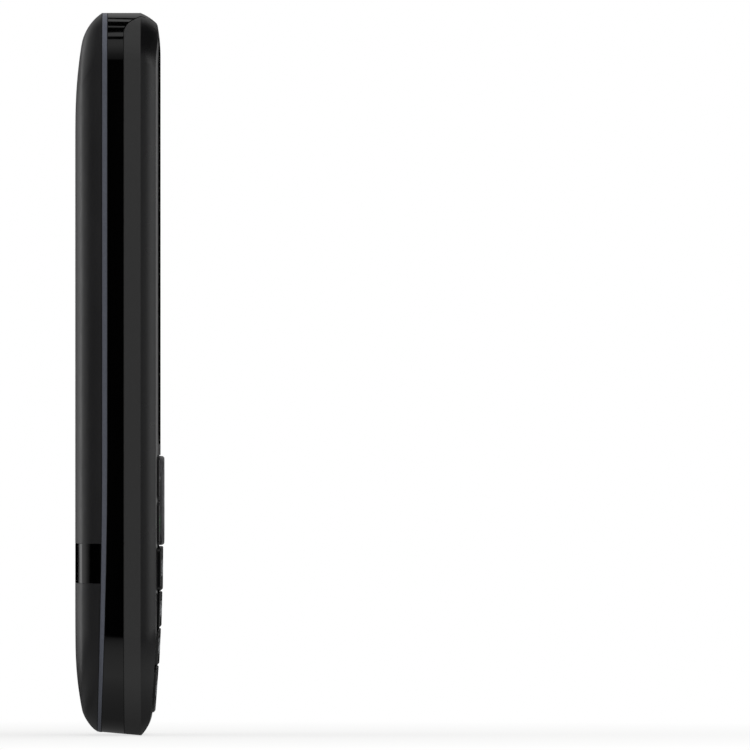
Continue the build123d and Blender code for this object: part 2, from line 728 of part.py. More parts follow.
# Front case
keys_top = NAV_TOP + KEY_GAP
opening = [side + 2 * DISPLAY_BORDER for side in (DISPLAY_WIDTH, DISPLAY_HEIGHT)]
with BuildPart() as front_case:
    add(hull_body)
    add(front_layer, mode=Mode.INTERSECT)
    add(inner_body, mode=Mode.SUBTRACT)
    add(cap_clearance, mode=Mode.SUBTRACT)
    with BuildSketch(front_plane(FRONT_WALL + MARGIN)):
        draw_outline(CREASE, KEY_MARGIN)
        with Locations((0, keys_top)):
            Rectangle(WIDTH, LENGTH, align=(Align.CENTER, Align.MIN), mode=Mode.SUBTRACT)
        with Locations((0, KEY_ROWS[-1] - KEY_GAP)):
            Rectangle(WIDTH, LENGTH, align=(Align.CENTER, Align.MAX), mode=Mode.SUBTRACT)
    extrude(amount=FRONT_WALL + 2 * MARGIN, mode=Mode.SUBTRACT)
    with BuildSketch(front_plane(WINDOW_BACK)):
        draw_window(WINDOW_GAP)
    extrude(amount=WINDOW_BACK + MARGIN, mode=Mode.SUBTRACT)
    recess((0, DISPLAY_CENTRE), opening[0], opening[1], 0, FRONT_WALL + MARGIN)
    pocket = (FRAME_WIDTH + 2 * FIT, FRAME_HEIGHT + 2 * FIT)
    recess((0, DISPLAY_CENTRE), pocket[0], pocket[1], LEDGE_BACK, FRONT_WALL + MARGIN)
    mesh_size = [side + 2 * EARPIECE_RIM + 2 * PIECE_GAP for side in EARPIECE_SLOT]
    recess((0, EARPIECE_CENTRE), mesh_size[0], mesh_size[1], 0, WINDOW_BACK + EARPIECE_MESH + PIECE_GAP)
    recess((0, EARPIECE_CENTRE), RECEIVER_SIZE[0] - EARPIECE_RIM, EARPIECE_SLOT[1], 0, FRONT_WALL + MARGIN)
    with BuildSketch(front_plane(CHASSIS_FRONT - PIECE_GAP)):
        with Locations(*SCREW_POINTS):
            Circle(BOSS_RADIUS)
    extrude(amount=CHASSIS_FRONT - PIECE_GAP - FRONT_WALL + FIT)
    with BuildSketch(front_plane(CHASSIS_FRONT)):
        with Locations(*SCREW_POINTS):
            Circle(SCREW_RADIUS + PIECE_GAP / 2)
    extrude(amount=SCREW_LENGTH, mode=Mode.SUBTRACT)
    cut_mouths()
finish(front_case, "front_case")

with BuildPart() as display_window:
    add(hull_body)
    with BuildSketch(front_plane(WINDOW_THICKNESS)):
        draw_window(0.0)
        with Locations((0, EARPIECE_CENTRE)):
            SlotOverall(EARPIECE_SLOT[0], EARPIECE_SLOT[1], mode=Mode.SUBTRACT)
    extrude(amount=WINDOW_THICKNESS + MARGIN, mode=Mode.INTERSECT)
finish(display_window, "display_window")

# Side band with its cap over the top end
lens_y = FRONT_Y + LENS_DEPTH
with BuildPart() as side_band:
    add(hull_body)
    add(band_layer + cap_space, mode=Mode.INTERSECT)
    add(inner_body, mode=Mode.SUBTRACT)
    with BuildSketch(Plane.XY.offset(LENGTH + MARGIN)):
        with Locations((0, lens_y)):
            SlotOverall(LENS_LENGTH + 2 * LENS_GAP, LENS_WIDTH + 2 * LENS_GAP)
    extrude(amount=-(WALL + 2 * MARGIN), mode=Mode.SUBTRACT)
    cut_mouths()
finish(side_band, "side_band")

with BuildPart() as trim_ring:
    add(hull_body)
    add(trim_layer, mode=Mode.INTERSECT)
    add(inner_body, mode=Mode.SUBTRACT)
finish(trim_ring, "trim_ring")

# Battery cover, its gloss strip and its hooks
hook_x = HALF - WALL - HOOK_CLEAR - HOOK_THICKNESS / 2
with BuildPart() as battery_cover:
    add(hull_body)
    add(cover_layer, mode=Mode.INTERSECT)
    add(cover_inner, mode=Mode.SUBTRACT)
    hook_front = COVER_START - HOOK_REACH
    hook_back = SHOULDER + 2 * HOOK_REACH
    for hook_height in HOOK_HEIGHTS:
        with BuildSketch(front_plane(hook_back)):
            with Locations((-hook_x, hook_height), (hook_x, hook_height)):
                Rectangle(HOOK_THICKNESS, HOOK_LENGTH)
        extrude(amount=hook_back - hook_front)
    add(hull_body, mode=Mode.INTERSECT)
    add(strip_clearance, mode=Mode.SUBTRACT)
    with BuildSketch(front_plane(THICKNESS + MARGIN)):
        with Locations((0, STRIP_CENTRE)):
            draw_slots()
    extrude(amount=2 * MARGIN, mode=Mode.SUBTRACT)
finish(battery_cover, "battery_cover")

with BuildPart() as rear_strip:
    add(hull_body)
    add(cover_layer, mode=Mode.INTERSECT)
    add(strip_space, mode=Mode.INTERSECT)
    with BuildSketch(front_plane(THICKNESS + MARGIN)):
        with Locations((0, STRIP_CENTRE)):
            draw_slots()
    extrude(amount=2 * MARGIN, mode=Mode.SUBTRACT)
finish(rear_strip, "rear_strip")

# Torch
flange_top = ROOF - PIECE_GAP
guide_bottom = flange_top - LENS_FLANGE_HEIGHT - GUIDE_HEIGHT
with BuildPart() as torch_lens:
    with BuildSketch(Plane.XY.offset(flange_top)):
        with Locations((0, lens_y)):
            SlotOverall(LENS_LENGTH, LENS_WIDTH)
    extrude(amount=LENGTH - flange_top)
    with BuildSketch(Plane.XY.offset(flange_top)):
        with Locations((0, lens_y)):
            SlotOverall(LENS_LENGTH + 2 * LENS_FLANGE, LENS_WIDTH + 2 * LENS_FLANGE)
    extrude(amount=-LENS_FLANGE_HEIGHT)
    with BuildSketch(Plane.XY.offset(guide_bottom)):
        with Locations((0, lens_y)):
            SlotOverall(GUIDE_LENGTH, GUIDE_WIDTH)
    extrude(amount=GUIDE_HEIGHT)
finish(torch_lens, "torch_lens")

lamp_bottom = guide_bottom - LAMP_GAP - LAMP_SIZE[2]
with BuildPart() as torch_board:
    with BuildSketch(Plane.XY.offset(lamp_bottom)):
        with Locations((0, lens_y)):
            Rectangle(TORCH_BOARD[0], TORCH_BOARD[1])
    extrude(amount=-TORCH_BOARD[2])
finish(torch_board, "torch_board")

with BuildPart() as torch_lamps:
    with BuildSketch(Plane.XY.offset(lamp_bottom)):
        with Locations((0, lens_y)):
            with GridLocations(LAMP_PITCH, 1, LAMP_COUNT, 1):
                Rectangle(LAMP_SIZE[0], LAMP_SIZE[1])
    extrude(amount=LAMP_SIZE[2])
finish(torch_lamps, "torch_lamps")

# Display stack
with BuildPart() as display_gasket:
    with BuildSketch(front_plane(LEDGE_BACK + PIECE_GAP / 2 + GASKET_THICKNESS)):
        with Locations((0, DISPLAY_CENTRE)):
            Rectangle(FRAME_WIDTH, FRAME_HEIGHT)
            Rectangle(opening[0], opening[1], mode=Mode.SUBTRACT)
    extrude(amount=GASKET_THICKNESS)
finish(display_gasket, "display_gasket")

panel_size = (DISPLAY_WIDTH + 2 * PANEL_MARGIN, DISPLAY_HEIGHT + 2 * PANEL_MARGIN, PANEL_THICKNESS)
finish(block(panel_size, (0, DISPLAY_CENTRE), FRAME_FRONT + PIECE_GAP), "display_panel")

with BuildPart() as display_frame:
    with BuildSketch(front_plane(FRAME_BACK)):
        with Locations((0, DISPLAY_CENTRE)):
            Rectangle(FRAME_WIDTH, FRAME_HEIGHT)
    extrude(amount=FRAME_THICKNESS)
    inner = [side + 2 * PIECE_GAP for side in panel_size[:2]]
    recess((0, DISPLAY_CENTRE), inner[0], inner[1], FRAME_FRONT, FRAME_BACK - FRAME_WALL)
finish(display_frame, "display_frame")

flex_centre = DISPLAY_CENTRE - FRAME_HEIGHT / 2
flex_front = FRAME_BACK + PIECE_GAP
finish(block(FLEX_SIZE, (0, flex_centre), flex_front), "display_flex")
connector_front = flex_front + FLEX_SIZE[2]
connector_size = (FLEX_CONNECTOR[0], FLEX_CONNECTOR[1], BOARD_FRONT - connector_front)
connector_at = (0, flex_centre - FLEX_SIZE[1] / 2 + FLEX_CONNECTOR[1] / 2)
finish(block(connector_size, connector_at, connector_front), "flex_connector")

# Earpiece
mesh_plate = (EARPIECE_SLOT[0] + 2 * EARPIECE_RIM, EARPIECE_SLOT[1] + 2 * EARPIECE_RIM, EARPIECE_MESH)
finish(block(mesh_plate, (0, EARPIECE_CENTRE), WINDOW_BACK), "earpiece_mesh")
receiver = block(RECEIVER_SIZE, (0, EARPIECE_CENTRE), FRONT_WALL + PIECE_GAP, RECEIVER_CORNER)
finish(receiver, "earpiece_receiver")

# Main board and what it carries
with BuildPart() as main_board:
    with BuildSketch(front_plane(BOARD_BACK)):
        draw_outline(CREASE, BOARD_INSET)
        with Locations((0, BOARD_TOP)):
            Rectangle(WIDTH, LENGTH, align=(Align.CENTER, Align.MIN), mode=Mode.SUBTRACT)
        with Locations(*SCREW_POINTS):
            Circle(BOSS_RADIUS + FIT, mode=Mode.SUBTRACT)
        with Locations((JACK_ACROSS, 0)):
            Rectangle(JACK_NOTCH[0], JACK_NOTCH[1], align=(Align.CENTER, Align.MIN), mode=Mode.SUBTRACT)
    extrude(amount=BOARD_THICKNESS)
finish(main_board, "main_board")

with BuildPart() as board_shields:
    for width, height, tall in SHIELDS:
        with BuildSketch(front_plane(BOARD_PIECES + SHIELD_HEIGHT)):
            with Locations((0, height)):
                Rectangle(width, tall)
        extrude(amount=SHIELD_HEIGHT)
        inner = (width - 2 * SHIELD_WALL, tall - 2 * SHIELD_WALL)
        recess((0, height), inner[0], inner[1], BOARD_PIECES, BOARD_PIECES + SHIELD_HEIGHT - SHIELD_WALL)
finish(board_shields, "board_shields")

sockets = [("sim_socket_1", SIM_SIZE, SIM_CENTRES[0]), ("sim_socket_2", SIM_SIZE, SIM_CENTRES[1])]
sockets.append(("memory_card_socket", CARD_SIZE, CARD_CENTRE))
for name, size, centre in sockets:
    with BuildPart() as socket:
        with BuildSketch(front_plane(BOARD_PIECES + SOCKET_HEIGHT)):
            with Locations(centre):
                Rectangle(*size)
        extrude(amount=SOCKET_HEIGHT)
        slot_centre = (centre[0], centre[1] + SOCKET_WALL)
        recess(slot_centre, size[0] - 4 * SOCKET_WALL, size[1], BOARD_PIECES + SOCKET_WALL,
               BOARD_PIECES + SOCKET_HEIGHT - SOCKET_WALL)
    finish(socket, name)

contact_z = BATTERY_BOTTOM - FIT
connector_z = contact_z - CONNECTOR_SIZE[1] / 2
connector_back = CHASSIS_BACK + CONNECTOR_SIZE[2]
with BuildPart() as battery_connector:
    with BuildSketch(front_plane(connector_back)):
        with Locations((0, connector_z)):
            Rectangle(CONNECTOR_SIZE[0], CONNECTOR_SIZE[1])
    extrude(amount=connector_back - BOARD_PIECES)
    with BuildSketch(front_plane(connector_back - PIECE_GAP)):
        with Locations((0, contact_z)):
            with GridLocations(CONTACT_PITCH, 1, CONTACT_COUNT, 1):
                Rectangle(CONTACT_SIZE[0], FIT)
    extrude(amount=CONTACT_SIZE[1])
finish(battery_connector, "battery_connector")

with BuildPart() as microphone:
    with BuildSketch(front_plane(BOARD_PIECES + MIC_SIZE[2])):
        with Locations((MIC_ACROSS, MIC_BOTTOM + MIC_SIZE[1] / 2)):
            Rectangle(MIC_SIZE[0], MIC_SIZE[1])
    extrude(amount=MIC_SIZE[2])
finish(microphone, "microphone")

# Sockets in the bottom end
body_bottom = SOCKET_RECESS + JACK_NOSE_LENGTH
body_top = SOCKET_RECESS + JACK_BORE + JACK_END_WALL
with BuildPart() as headset_jack:
    with BuildSketch(Plane.XY.offset(body_bottom)):
        with Locations((JACK_ACROSS, FRONT_Y + JACK_DEPTH)):
            Rectangle(JACK_BODY[0], JACK_BODY[1])
    extrude(amount=body_top - body_bottom)
    with BuildSketch(Plane.XY.offset(SOCKET_RECESS)):
        with Locations((JACK_ACROSS, FRONT_Y + JACK_DEPTH)):
            Circle(JACK_NOSE_RADIUS)
    extrude(amount=JACK_NOSE_LENGTH)
    with BuildSketch(Plane.XY.offset(SOCKET_RECESS)):
        with Locations((JACK_ACROSS, FRONT_Y + JACK_DEPTH)):
            Circle(JACK_RADIUS)
    extrude(amount=JACK_BORE, mode=Mode.SUBTRACT)
finish(headset_jack, "headset_jack")

usb_y = FRONT_Y + USB_DEPTH
with BuildPart() as usb_socket:
    with BuildSketch(Plane.XY.offset(SOCKET_RECESS)):
        with Locations((USB_ACROSS, usb_y)):
            Rectangle(USB_SIZE[0], USB_SIZE[1])
    extrude(amount=USB_SIZE[2])
    with BuildSketch(Plane.XY.offset(SOCKET_RECESS)):
        with Locations((USB_ACROSS, usb_y)):
            Rectangle(USB_SIZE[0] - 2 * USB_WALL, USB_SIZE[1] - 2 * USB_WALL)
            Rectangle(USB_TONGUE[0], USB_TONGUE[1], mode=Mode.SUBTRACT)
    extrude(amount=USB_SIZE[2] - USB_WALL, mode=Mode.SUBTRACT)
finish(usb_socket, "usb_socket")

# Rear chassis
with BuildPart() as rear_chassis:
    with BuildSketch(front_plane(CHASSIS_BACK)):
        draw_outline(CREASE, 0.0, WALL + FIT)
        with Locations((0, CHASSIS_TOP)):
            Rectangle(WIDTH, LENGTH, align=(Align.CENTER, Align.MIN), mode=Mode.SUBTRACT)
        with Locations((0, SOCKET_WINDOW_CENTRE)):
            Rectangle(SOCKET_WINDOW[0], SOCKET_WINDOW[1], mode=Mode.SUBTRACT)
        with Locations(*SCREW_POINTS):
            Circle(SCREW_RADIUS + FIT, mode=Mode.SUBTRACT)
        with Locations((JACK_ACROSS, 0)):
            Rectangle(JACK_NOTCH[0], JACK_NOTCH[1], align=(Align.CENTER, Align.MIN), mode=Mode.SUBTRACT)
        with Locations((USB_ACROSS, 0)):
            Rectangle(USB_NOTCH[0], USB_NOTCH[1], align=(Align.CENTER, Align.MIN), mode=Mode.SUBTRACT)
    extrude(amount=CHASSIS_PLATE)
    with BuildSketch(front_plane(BAY_BACK)):
        with Locations((0, BATTERY_CENTRE)):
            Rectangle(BAY_OUTER[0], BAY_OUTER[1])
            Rectangle(BAY_INNER[0], BAY_INNER[1], mode=Mode.SUBTRACT)
    extrude(amount=BAY_BACK - CHASSIS_BACK)
    with BuildSketch(front_plane(MOTOR_DEPTH)):
        with Locations((MOTOR_START + MOTOR_LENGTH / 2, MOTOR_HEIGHT)):
            Rectangle(CRADLE_SIZE[0], CRADLE_SIZE[1])
    extrude(amount=MOTOR_DEPTH - CHASSIS_BACK)
    with BuildSketch(Plane.YZ.offset(MOTOR_START)):
        with Locations((FRONT_Y + MOTOR_DEPTH, MOTOR_HEIGHT)):
            Circle(MOTOR_RADIUS + PIECE_GAP)
    extrude(amount=MOTOR_LENGTH, mode=Mode.SUBTRACT)
    socket_gap = (CONNECTOR_SIZE[0] + 2 * FIT, CONNECTOR_SIZE[1] + 3 * FIT)
    recess((0, connector_z), socket_gap[0], socket_gap[1], CHASSIS_FRONT, BAY_BACK)
finish(rear_chassis, "rear_chassis")

with BuildPart() as case_screws:
    with BuildSketch(front_plane(CHASSIS_BACK + PIECE_GAP)):
        with Locations(*SCREW_POINTS):
            Circle(SCREW_RADIUS)
    extrude(amount=SCREW_LENGTH + PIECE_GAP)
    with BuildSketch(front_plane(CHASSIS_BACK + PIECE_GAP + SCREW_HEAD_HEIGHT)):
        with Locations(*SCREW_POINTS):
            Circle(SCREW_HEAD_RADIUS)
    extrude(amount=SCREW_HEAD_HEIGHT)
    slot_back = CHASSIS_BACK + PIECE_GAP + SCREW_HEAD_HEIGHT
    for point in SCREW_POINTS:
        recess(point, 2 * SCREW_RADIUS, SCREW_SLOT, slot_back - SCREW_SLOT, slot_back)
        recess(point, SCREW_SLOT, 2 * SCREW_RADIUS, slot_back - SCREW_SLOT, slot_back)
finish(case_screws, "case_screws")

finish(block(BATTERY_SIZE, (0, BATTERY_CENTRE), ON_CHASSIS, edge=BATTERY_EDGE), "battery")

# Loudspeaker
speaker_at = (0, SPEAKER_CENTRE)
finish(block(SPEAKER_SIZE, speaker_at, ON_CHASSIS, SPEAKER_CORNER), "loudspeaker")
with BuildPart() as speaker_gasket:
    with BuildSketch(front_plane(SPEAKER_GASKET_BACK)):
        with Locations(speaker_at):
            RectangleRounded(SPEAKER_SIZE[0], SPEAKER_SIZE[1] - SPEAKER_GASKET_WALL, SPEAKER_CORNER)
            inner = [side - 2 * SPEAKER_GASKET_WALL for side in SPEAKER_SIZE[:2]]
            Rectangle(inner[0], inner[1] - SPEAKER_GASKET_WALL, mode=Mode.SUBTRACT)
    extrude(amount=SPEAKER_GASKET_BACK - SPEAKER_BACK - PIECE_GAP)
finish(speaker_gasket, "speaker_gasket")

# Vibration motor with its off-centre weight
motor_at = (FRONT_Y + MOTOR_DEPTH, MOTOR_HEIGHT)
motor_end = MOTOR_START + MOTOR_LENGTH
with BuildPart() as vibration_motor:
    with BuildSketch(Plane.YZ.offset(MOTOR_START)):
        with Locations(motor_at):
            Circle(MOTOR_RADIUS)
    extrude(amount=MOTOR_LENGTH)
    with BuildSketch(Plane.YZ.offset(motor_end)):
        with Locations(motor_at):
            Circle(SHAFT_RADIUS + SHAFT_GAP)
    extrude(amount=-(SHAFT_SEAT + SHAFT_GAP), mode=Mode.SUBTRACT)
finish(vibration_motor, "vibration_motor")

with BuildPart() as motor_weight:
    with BuildSketch(Plane.YZ.offset(motor_end + WEIGHT_GAP)):
        with Locations(motor_at):
            Circle(WEIGHT_RADIUS)
            with Locations((0, SHAFT_RADIUS)):
                cut_align = (Align.CENTER, Align.MIN)
                Rectangle(2 * WEIGHT_RADIUS, WEIGHT_RADIUS, align=cut_align, mode=Mode.SUBTRACT)
            Circle(2 * SHAFT_RADIUS)
    extrude(amount=WEIGHT_LENGTH)
    with BuildSketch(Plane.YZ.offset(motor_end - SHAFT_SEAT)):
        with Locations(motor_at):
            Circle(SHAFT_RADIUS)
    extrude(amount=SHAFT_SEAT + WEIGHT_GAP + WEIGHT_LENGTH / 2)
finish(motor_weight, "motor_weight")

# Antenna
carrier_back = ON_CHASSIS + ANTENNA_SIZE[2]
with BuildPart() as antenna_carrier:
    with BuildSketch(front_plane(carrier_back)):
        with Locations((0, ANTENNA_CENTRE)):
            Rectangle(ANTENNA_SIZE[0], ANTENNA_SIZE[1])
    extrude(amount=ANTENNA_SIZE[2])
    hollow = [side - 2 * ANTENNA_WALL for side in ANTENNA_SIZE[:2]]
    recess((0, ANTENNA_CENTRE), hollow[0], hollow[1], ON_CHASSIS, carrier_back - ANTENNA_WALL)
finish(antenna_carrier, "antenna_carrier")

with BuildPart() as antenna_plate:
    with BuildSketch(front_plane(carrier_back + ANTENNA_PLATE)):
        with Locations((0, ANTENNA_CENTRE)):
            Rectangle(ANTENNA_SIZE[0] - 2 * ANTENNA_BORDER, ANTENNA_SIZE[1] - 2 * ANTENNA_BORDER)
        with Locations((ANTENNA_SIZE[0] / 2 - ANTENNA_BORDER, ANTENNA_CENTRE)):
            slot_align = (Align.MAX, Align.CENTER)
            Rectangle(ANTENNA_SLOT[0], ANTENNA_SLOT[1], align=slot_align, mode=Mode.SUBTRACT)
    extrude(amount=ANTENNA_PLATE)
finish(antenna_plate, "antenna_plate")
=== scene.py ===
import math

import bmesh
import bpy
from mathutils import Matrix, Vector


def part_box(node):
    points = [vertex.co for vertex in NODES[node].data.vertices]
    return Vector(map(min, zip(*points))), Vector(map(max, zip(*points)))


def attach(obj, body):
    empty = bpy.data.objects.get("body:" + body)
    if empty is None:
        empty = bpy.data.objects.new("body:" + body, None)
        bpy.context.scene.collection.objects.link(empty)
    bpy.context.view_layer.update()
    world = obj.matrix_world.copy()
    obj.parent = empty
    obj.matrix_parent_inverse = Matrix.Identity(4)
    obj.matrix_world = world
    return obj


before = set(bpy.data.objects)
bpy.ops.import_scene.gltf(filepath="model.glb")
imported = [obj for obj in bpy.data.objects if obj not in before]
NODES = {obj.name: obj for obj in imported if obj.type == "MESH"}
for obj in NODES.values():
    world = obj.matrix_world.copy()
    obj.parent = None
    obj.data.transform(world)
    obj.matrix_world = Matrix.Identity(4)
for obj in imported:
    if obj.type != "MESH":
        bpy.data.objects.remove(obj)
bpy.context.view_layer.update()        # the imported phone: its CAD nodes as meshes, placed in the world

# Bar phone standing on its bottom end: +Z up, front face towards -Y, user's right +X
# The scene is in metres. Sizes here are in mm, and MM turns them into metres
MM = 0.001

# The photograph's frame: its scale, and the pixels where the phone's middle and its bottom end lie
PIXELS = 750
MM_PER_PIXEL = 0.16
MIDDLE_PIXEL_X = 120.0
BOTTOM_PIXEL_Y = 734.8
# The photograph's views are as good as parallel, so the lens is very long
LENS = 1500.0
SENSOR = 36.0

# Case: its front face, and the crease of its side, where the bezel's lacquer and its painted shade start
FRONT_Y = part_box("front_case")[0].y / MM
CREASE_FROM_FRONT = 2.93
PAINT_EDGE = 0.05

# Tape in the joints between the case parts, which stand 0.12 apart
SEAL_CLEARANCE = 0.015
SEAL_THICKNESS = 0.09
# The band's joint face, how far off a part of it may lie, and how squarely a joint face looks along Y
BAND_FACE = -0.72
BAND_FACE_SLACK = 0.05
SQUARE_ON = 0.9
# Points of a tape nearer than this are one
WELD = 0.001

# Display: the black border of the panel round its picture
VIEW_BORDER = 1.6
VIEW_EDGE = 0.15

# Torch: the light guide shows through the lens as a brighter core, which also has a faint painted glow
# though the torch is off
CORE_LENGTH = 19.4
CORE_WIDTH = 2.0
CORE_EDGE = 0.12
CORE_DEPTH = 0.4
CORE_PAINTED_GLOW = 0.3

# Battery: the printed band at its top end, and the contact pads at its lower end
BATTERY_BAND = 9.0
PAD_WIDTH = 1.6
PAD_HEIGHT = 1.4
PAD_THICKNESS = 0.02
PAD_PITCH = 2.6
PAD_FORWARD = 1.2
PAD_INSET = 0.005

# Printed lettering on the keys, laid on where a line from well in front of the phone meets them
PRINT_THICKNESS = 0.01
PRINT_LIFT = 0.006
LINE_START_Y = -50.0
DIGIT_HEIGHT = 2.7
SMALL_HEIGHT = 1.25
SIGN_HEIGHT = 3.0
CAP_SHARE = 0.72
DIGIT_ACROSS = -3.3
SMALL_ACROSS = 2.3
SIGN_ACROSS = 12.6
STAR_DROP = 0.9
ONE_OUTLINE = [
    (0.05, -1.35), (0.5, -1.35), (0.5, 1.35), (0.15, 1.35), (-0.55, 0.85), (-0.55, 0.42), (0.05, 0.8),
]
LETTERS = {
    "key_1": "", "key_2": "abc", "key_3": "def", "key_4": "ghi", "key_5": "jkl", "key_6": "mno",
    "key_7": "pqrs", "key_8": "tuv", "key_9": "wxyz", "key_0": "+",
}

# Signs on the soft keys, the navigation ring, and the call and end keys
DASH_WIDTH = 3.8
DASH_HEIGHT = 0.44
ARROW_OUTLINE = [(-0.8, -0.4), (0.8, -0.4), (0.0, 0.55)]
ARROW_ACROSS = 6.2
ARROW_UP = 5.3
CALL_TURN = 50
HANDSET_OUTER = 2.1
HANDSET_INNER = 1.5
HANDSET_FOOT = 0.85
HANDSET_REACH = 58
HANDSET_NECK = 31
CUP_RADIUS = 1.0625
CUP_ACROSS = 1.36
CUP_UP = 0.935
ARC_STEPS = 12

# How bright the studio is all round, as matt surfaces see it
AMBIENT = 0.38

# Round floor board
FLOOR_RADIUS = 260.0
FLOOR_SIDES = 96
# It fades to white with the distance from the phone's foot. Gloss sees it as an emission with painted light:
# a painted pool of light close to the phone that fades far away, painted shadow under it and painted shade
# behind it. Each has where that starts and ends, and the levels there
FLOOR_FADE = (40.0, 200.0, 0.72, 1.0)
FLOOR_PAINTED_POOL = (30.0, 155.0, 0.45, 0.0)
FLOOR_PAINTED_SHADOW = (15.0, 30.0, 0.12, 0.45)
FLOOR_PAINTED_SHADE_BEHIND = (4.0, 14.0, 1.0, 0.25)

# Soft lamps: degrees from the front round the phone and power in watts, and one more overhead
SOFTBOXES = ((0, 1.5), (68, 4.2), (180, 3.5), (292, 4.2))
SOFTBOX_DISTANCE = 1000.0
SOFTBOX_HEIGHT = 400.0
SOFTBOX_SIZE = 800.0
OVERHEAD_DISTANCE = 10.0
OVERHEAD_HEIGHT = 1000.0
OVERHEAD_POWER = 3.0
AIM_HEIGHT = 55.0

# The studio as gloss sees it, by the direction looked in: aside is how far that points to either side, along
# how far to front or back, and back and up how far that way. An edge has where it starts and ends on one of
# these, and the levels before and after it. A row's edges are multiplied, and the rows are joined in turn
WALL_OPENING = ("aside", 0.951, 0.967, 1.0, 0.0)
WALL_TOP = ("up", 0.1, 0.4, 1.0, 0.0)
FRONT_OPENING = ("back", -0.985, -0.993, 1.0, 0.0)
FRONT_TOP = ("up", 0.12, 0.25, 1.0, 0.0)
LAMP_ENDS = ("along", 0.35, 0.6, 1.0, 0.0)
REFLECTIONS = (
    # A wall at each side: a faint glow, brightest round an opening straight at the side
    ("ADD", ("aside", 0.26, 0.6, 0.0, 0.28), WALL_OPENING, WALL_TOP),
    ("ADD", ("aside", 0.84, 0.92, 0.0, 0.27), WALL_OPENING, WALL_TOP),
    # A broad lamp over each side, brighter upwards, and a narrow brighter one above it
    ("MAXIMUM", ("up", 0.01, 0.6, 0.0, 0.5), ("up", 0.78, 0.79, 1.0, 0.0), LAMP_ENDS),
    ("MAXIMUM", ("up", 0.86, 0.87, 0.0, 0.79), ("up", 0.935, 0.945, 1.0, 0.0), LAMP_ENDS),
    # A pale wall in front, also with an opening
    ("MAXIMUM", ("back", -0.84, -0.96, 0.0, 1.5), FRONT_OPENING, FRONT_TOP),
    # A small lamp straight overhead
    ("MAXIMUM", ("up", 0.9988, 0.9994, 0.0, 0.7)),
)


def linear(code):
    """Linear colour of an sRGB hex colour."""
    made = []
    for first in (0, 2, 4):
        share = int(code[first:first + 2], 16) / 255
        made.append(share / 12.92 if share <= 0.04045 else ((share + 0.055) / 1.055) ** 2.4)
    return (*made, 1.0)


def node(tree, kind, inputs=None, **settings):
    """Add a shader node with its settings, and feed its inputs with values or other nodes' outputs."""
    made = tree.nodes.new("ShaderNode" + kind)
    for name, value in settings.items():
        setattr(made, name, value)
    for name, value in (inputs or {}).items():
        if isinstance(value, bpy.types.NodeSocket):
            tree.links.new(value, made.inputs[name])
        else:
            made.inputs[name].default_value = value
    return made


def start(name, colour, roughness, sockets=None):
    """Material with one shader in a plain colour, and the sockets that stay the same all over it."""
    made = bpy.data.materials.new(name)
    made.use_nodes = True
    shader = made.node_tree.nodes["Principled BSDF"]
    shader.inputs["Base Color"].default_value = linear(colour)
    shader.inputs["Roughness"].default_value = roughness
    for socket, value in (sockets or {}).items():
        shader.inputs[socket].default_value = value
    return made, made.node_tree, shader


def axes(tree):
    """Place on the object along X, Y and Z, in mm."""
    spot = node(tree, "TexCoord").outputs["Object"]
    spot = node(tree, "VectorMath", {0: spot, "Scale": 1 / MM}, operation="SCALE").outputs["Vector"]
    return node(tree, "SeparateXYZ", {"Vector": spot}).outputs


def grain(tree, size, stretch=(1.0, 1.0, 1.0), detail=2.0):
    """Noise whose lumps are a size in mm across, drawn out along an axis by a stretch under one."""
    spot = node(tree, "TexCoord").outputs["Object"]
    shaped = node(tree, "Mapping", {"Vector": spot, "Scale": stretch}).outputs["Vector"]
    inputs = {"Vector": shaped, "Scale": 1 / (size * MM), "Detail": detail}
    return node(tree, "TexNoise", inputs).outputs["Fac"]


def cells(tree, size, randomness=1.0, distance="EUCLIDEAN"):
    """Distance from the middles of cells a size in mm across, which lie in rows without randomness."""
    spot = node(tree, "TexCoord").outputs["Object"]
    inputs = {"Vector": spot, "Scale": 1 / (size * MM), "Randomness": randomness}
    return node(tree, "TexVoronoi", inputs, distance=distance).outputs["Distance"]


def zone(tree, *edges):
    """Product of edges. An edge is a measure, where it starts and ends, and the levels before and after."""
    level = 1.0
    for measure, begin, end, before, after in edges:
        limits = {"From Min": begin, "From Max": end, "To Min": before, "To Max": after}
        step = node(tree, "MapRange", {"Value": measure, **limits}).outputs["Result"]
        level = node(tree, "Math", {0: level, 1: step}, operation="MULTIPLY").outputs[0]
    return level


def tint(tree, shader, low, high, pattern, spread=(0.35, 0.65)):
    """Colour that wanders between two sRGB colours as a pattern goes over its spread."""
    share = zone(tree, (pattern, *spread, 0.0, 1.0))
    mixed = node(tree, "Mix", {0: share, 6: linear(low), 7: linear(high)}, data_type="RGBA")
    tree.links.new(mixed.outputs[2], shader.inputs["Base Color"])
    return mixed.outputs[2]


def vary(tree, shader, low, high, pattern, spread=(0.35, 0.65)):
    """Roughness that wanders between two values as a pattern goes over its spread."""
    tree.links.new(zone(tree, (pattern, *spread, low, high)), shader.inputs["Roughness"])


def relief(tree, shader, pattern, height, strength):
    """Bumps of a height in mm."""
    inputs = {"Height": pattern, "Distance": height * MM, "Strength": strength}
    raised = node(tree, "Bump", inputs).outputs["Normal"]
    tree.links.new(raised, shader.inputs["Normal"])


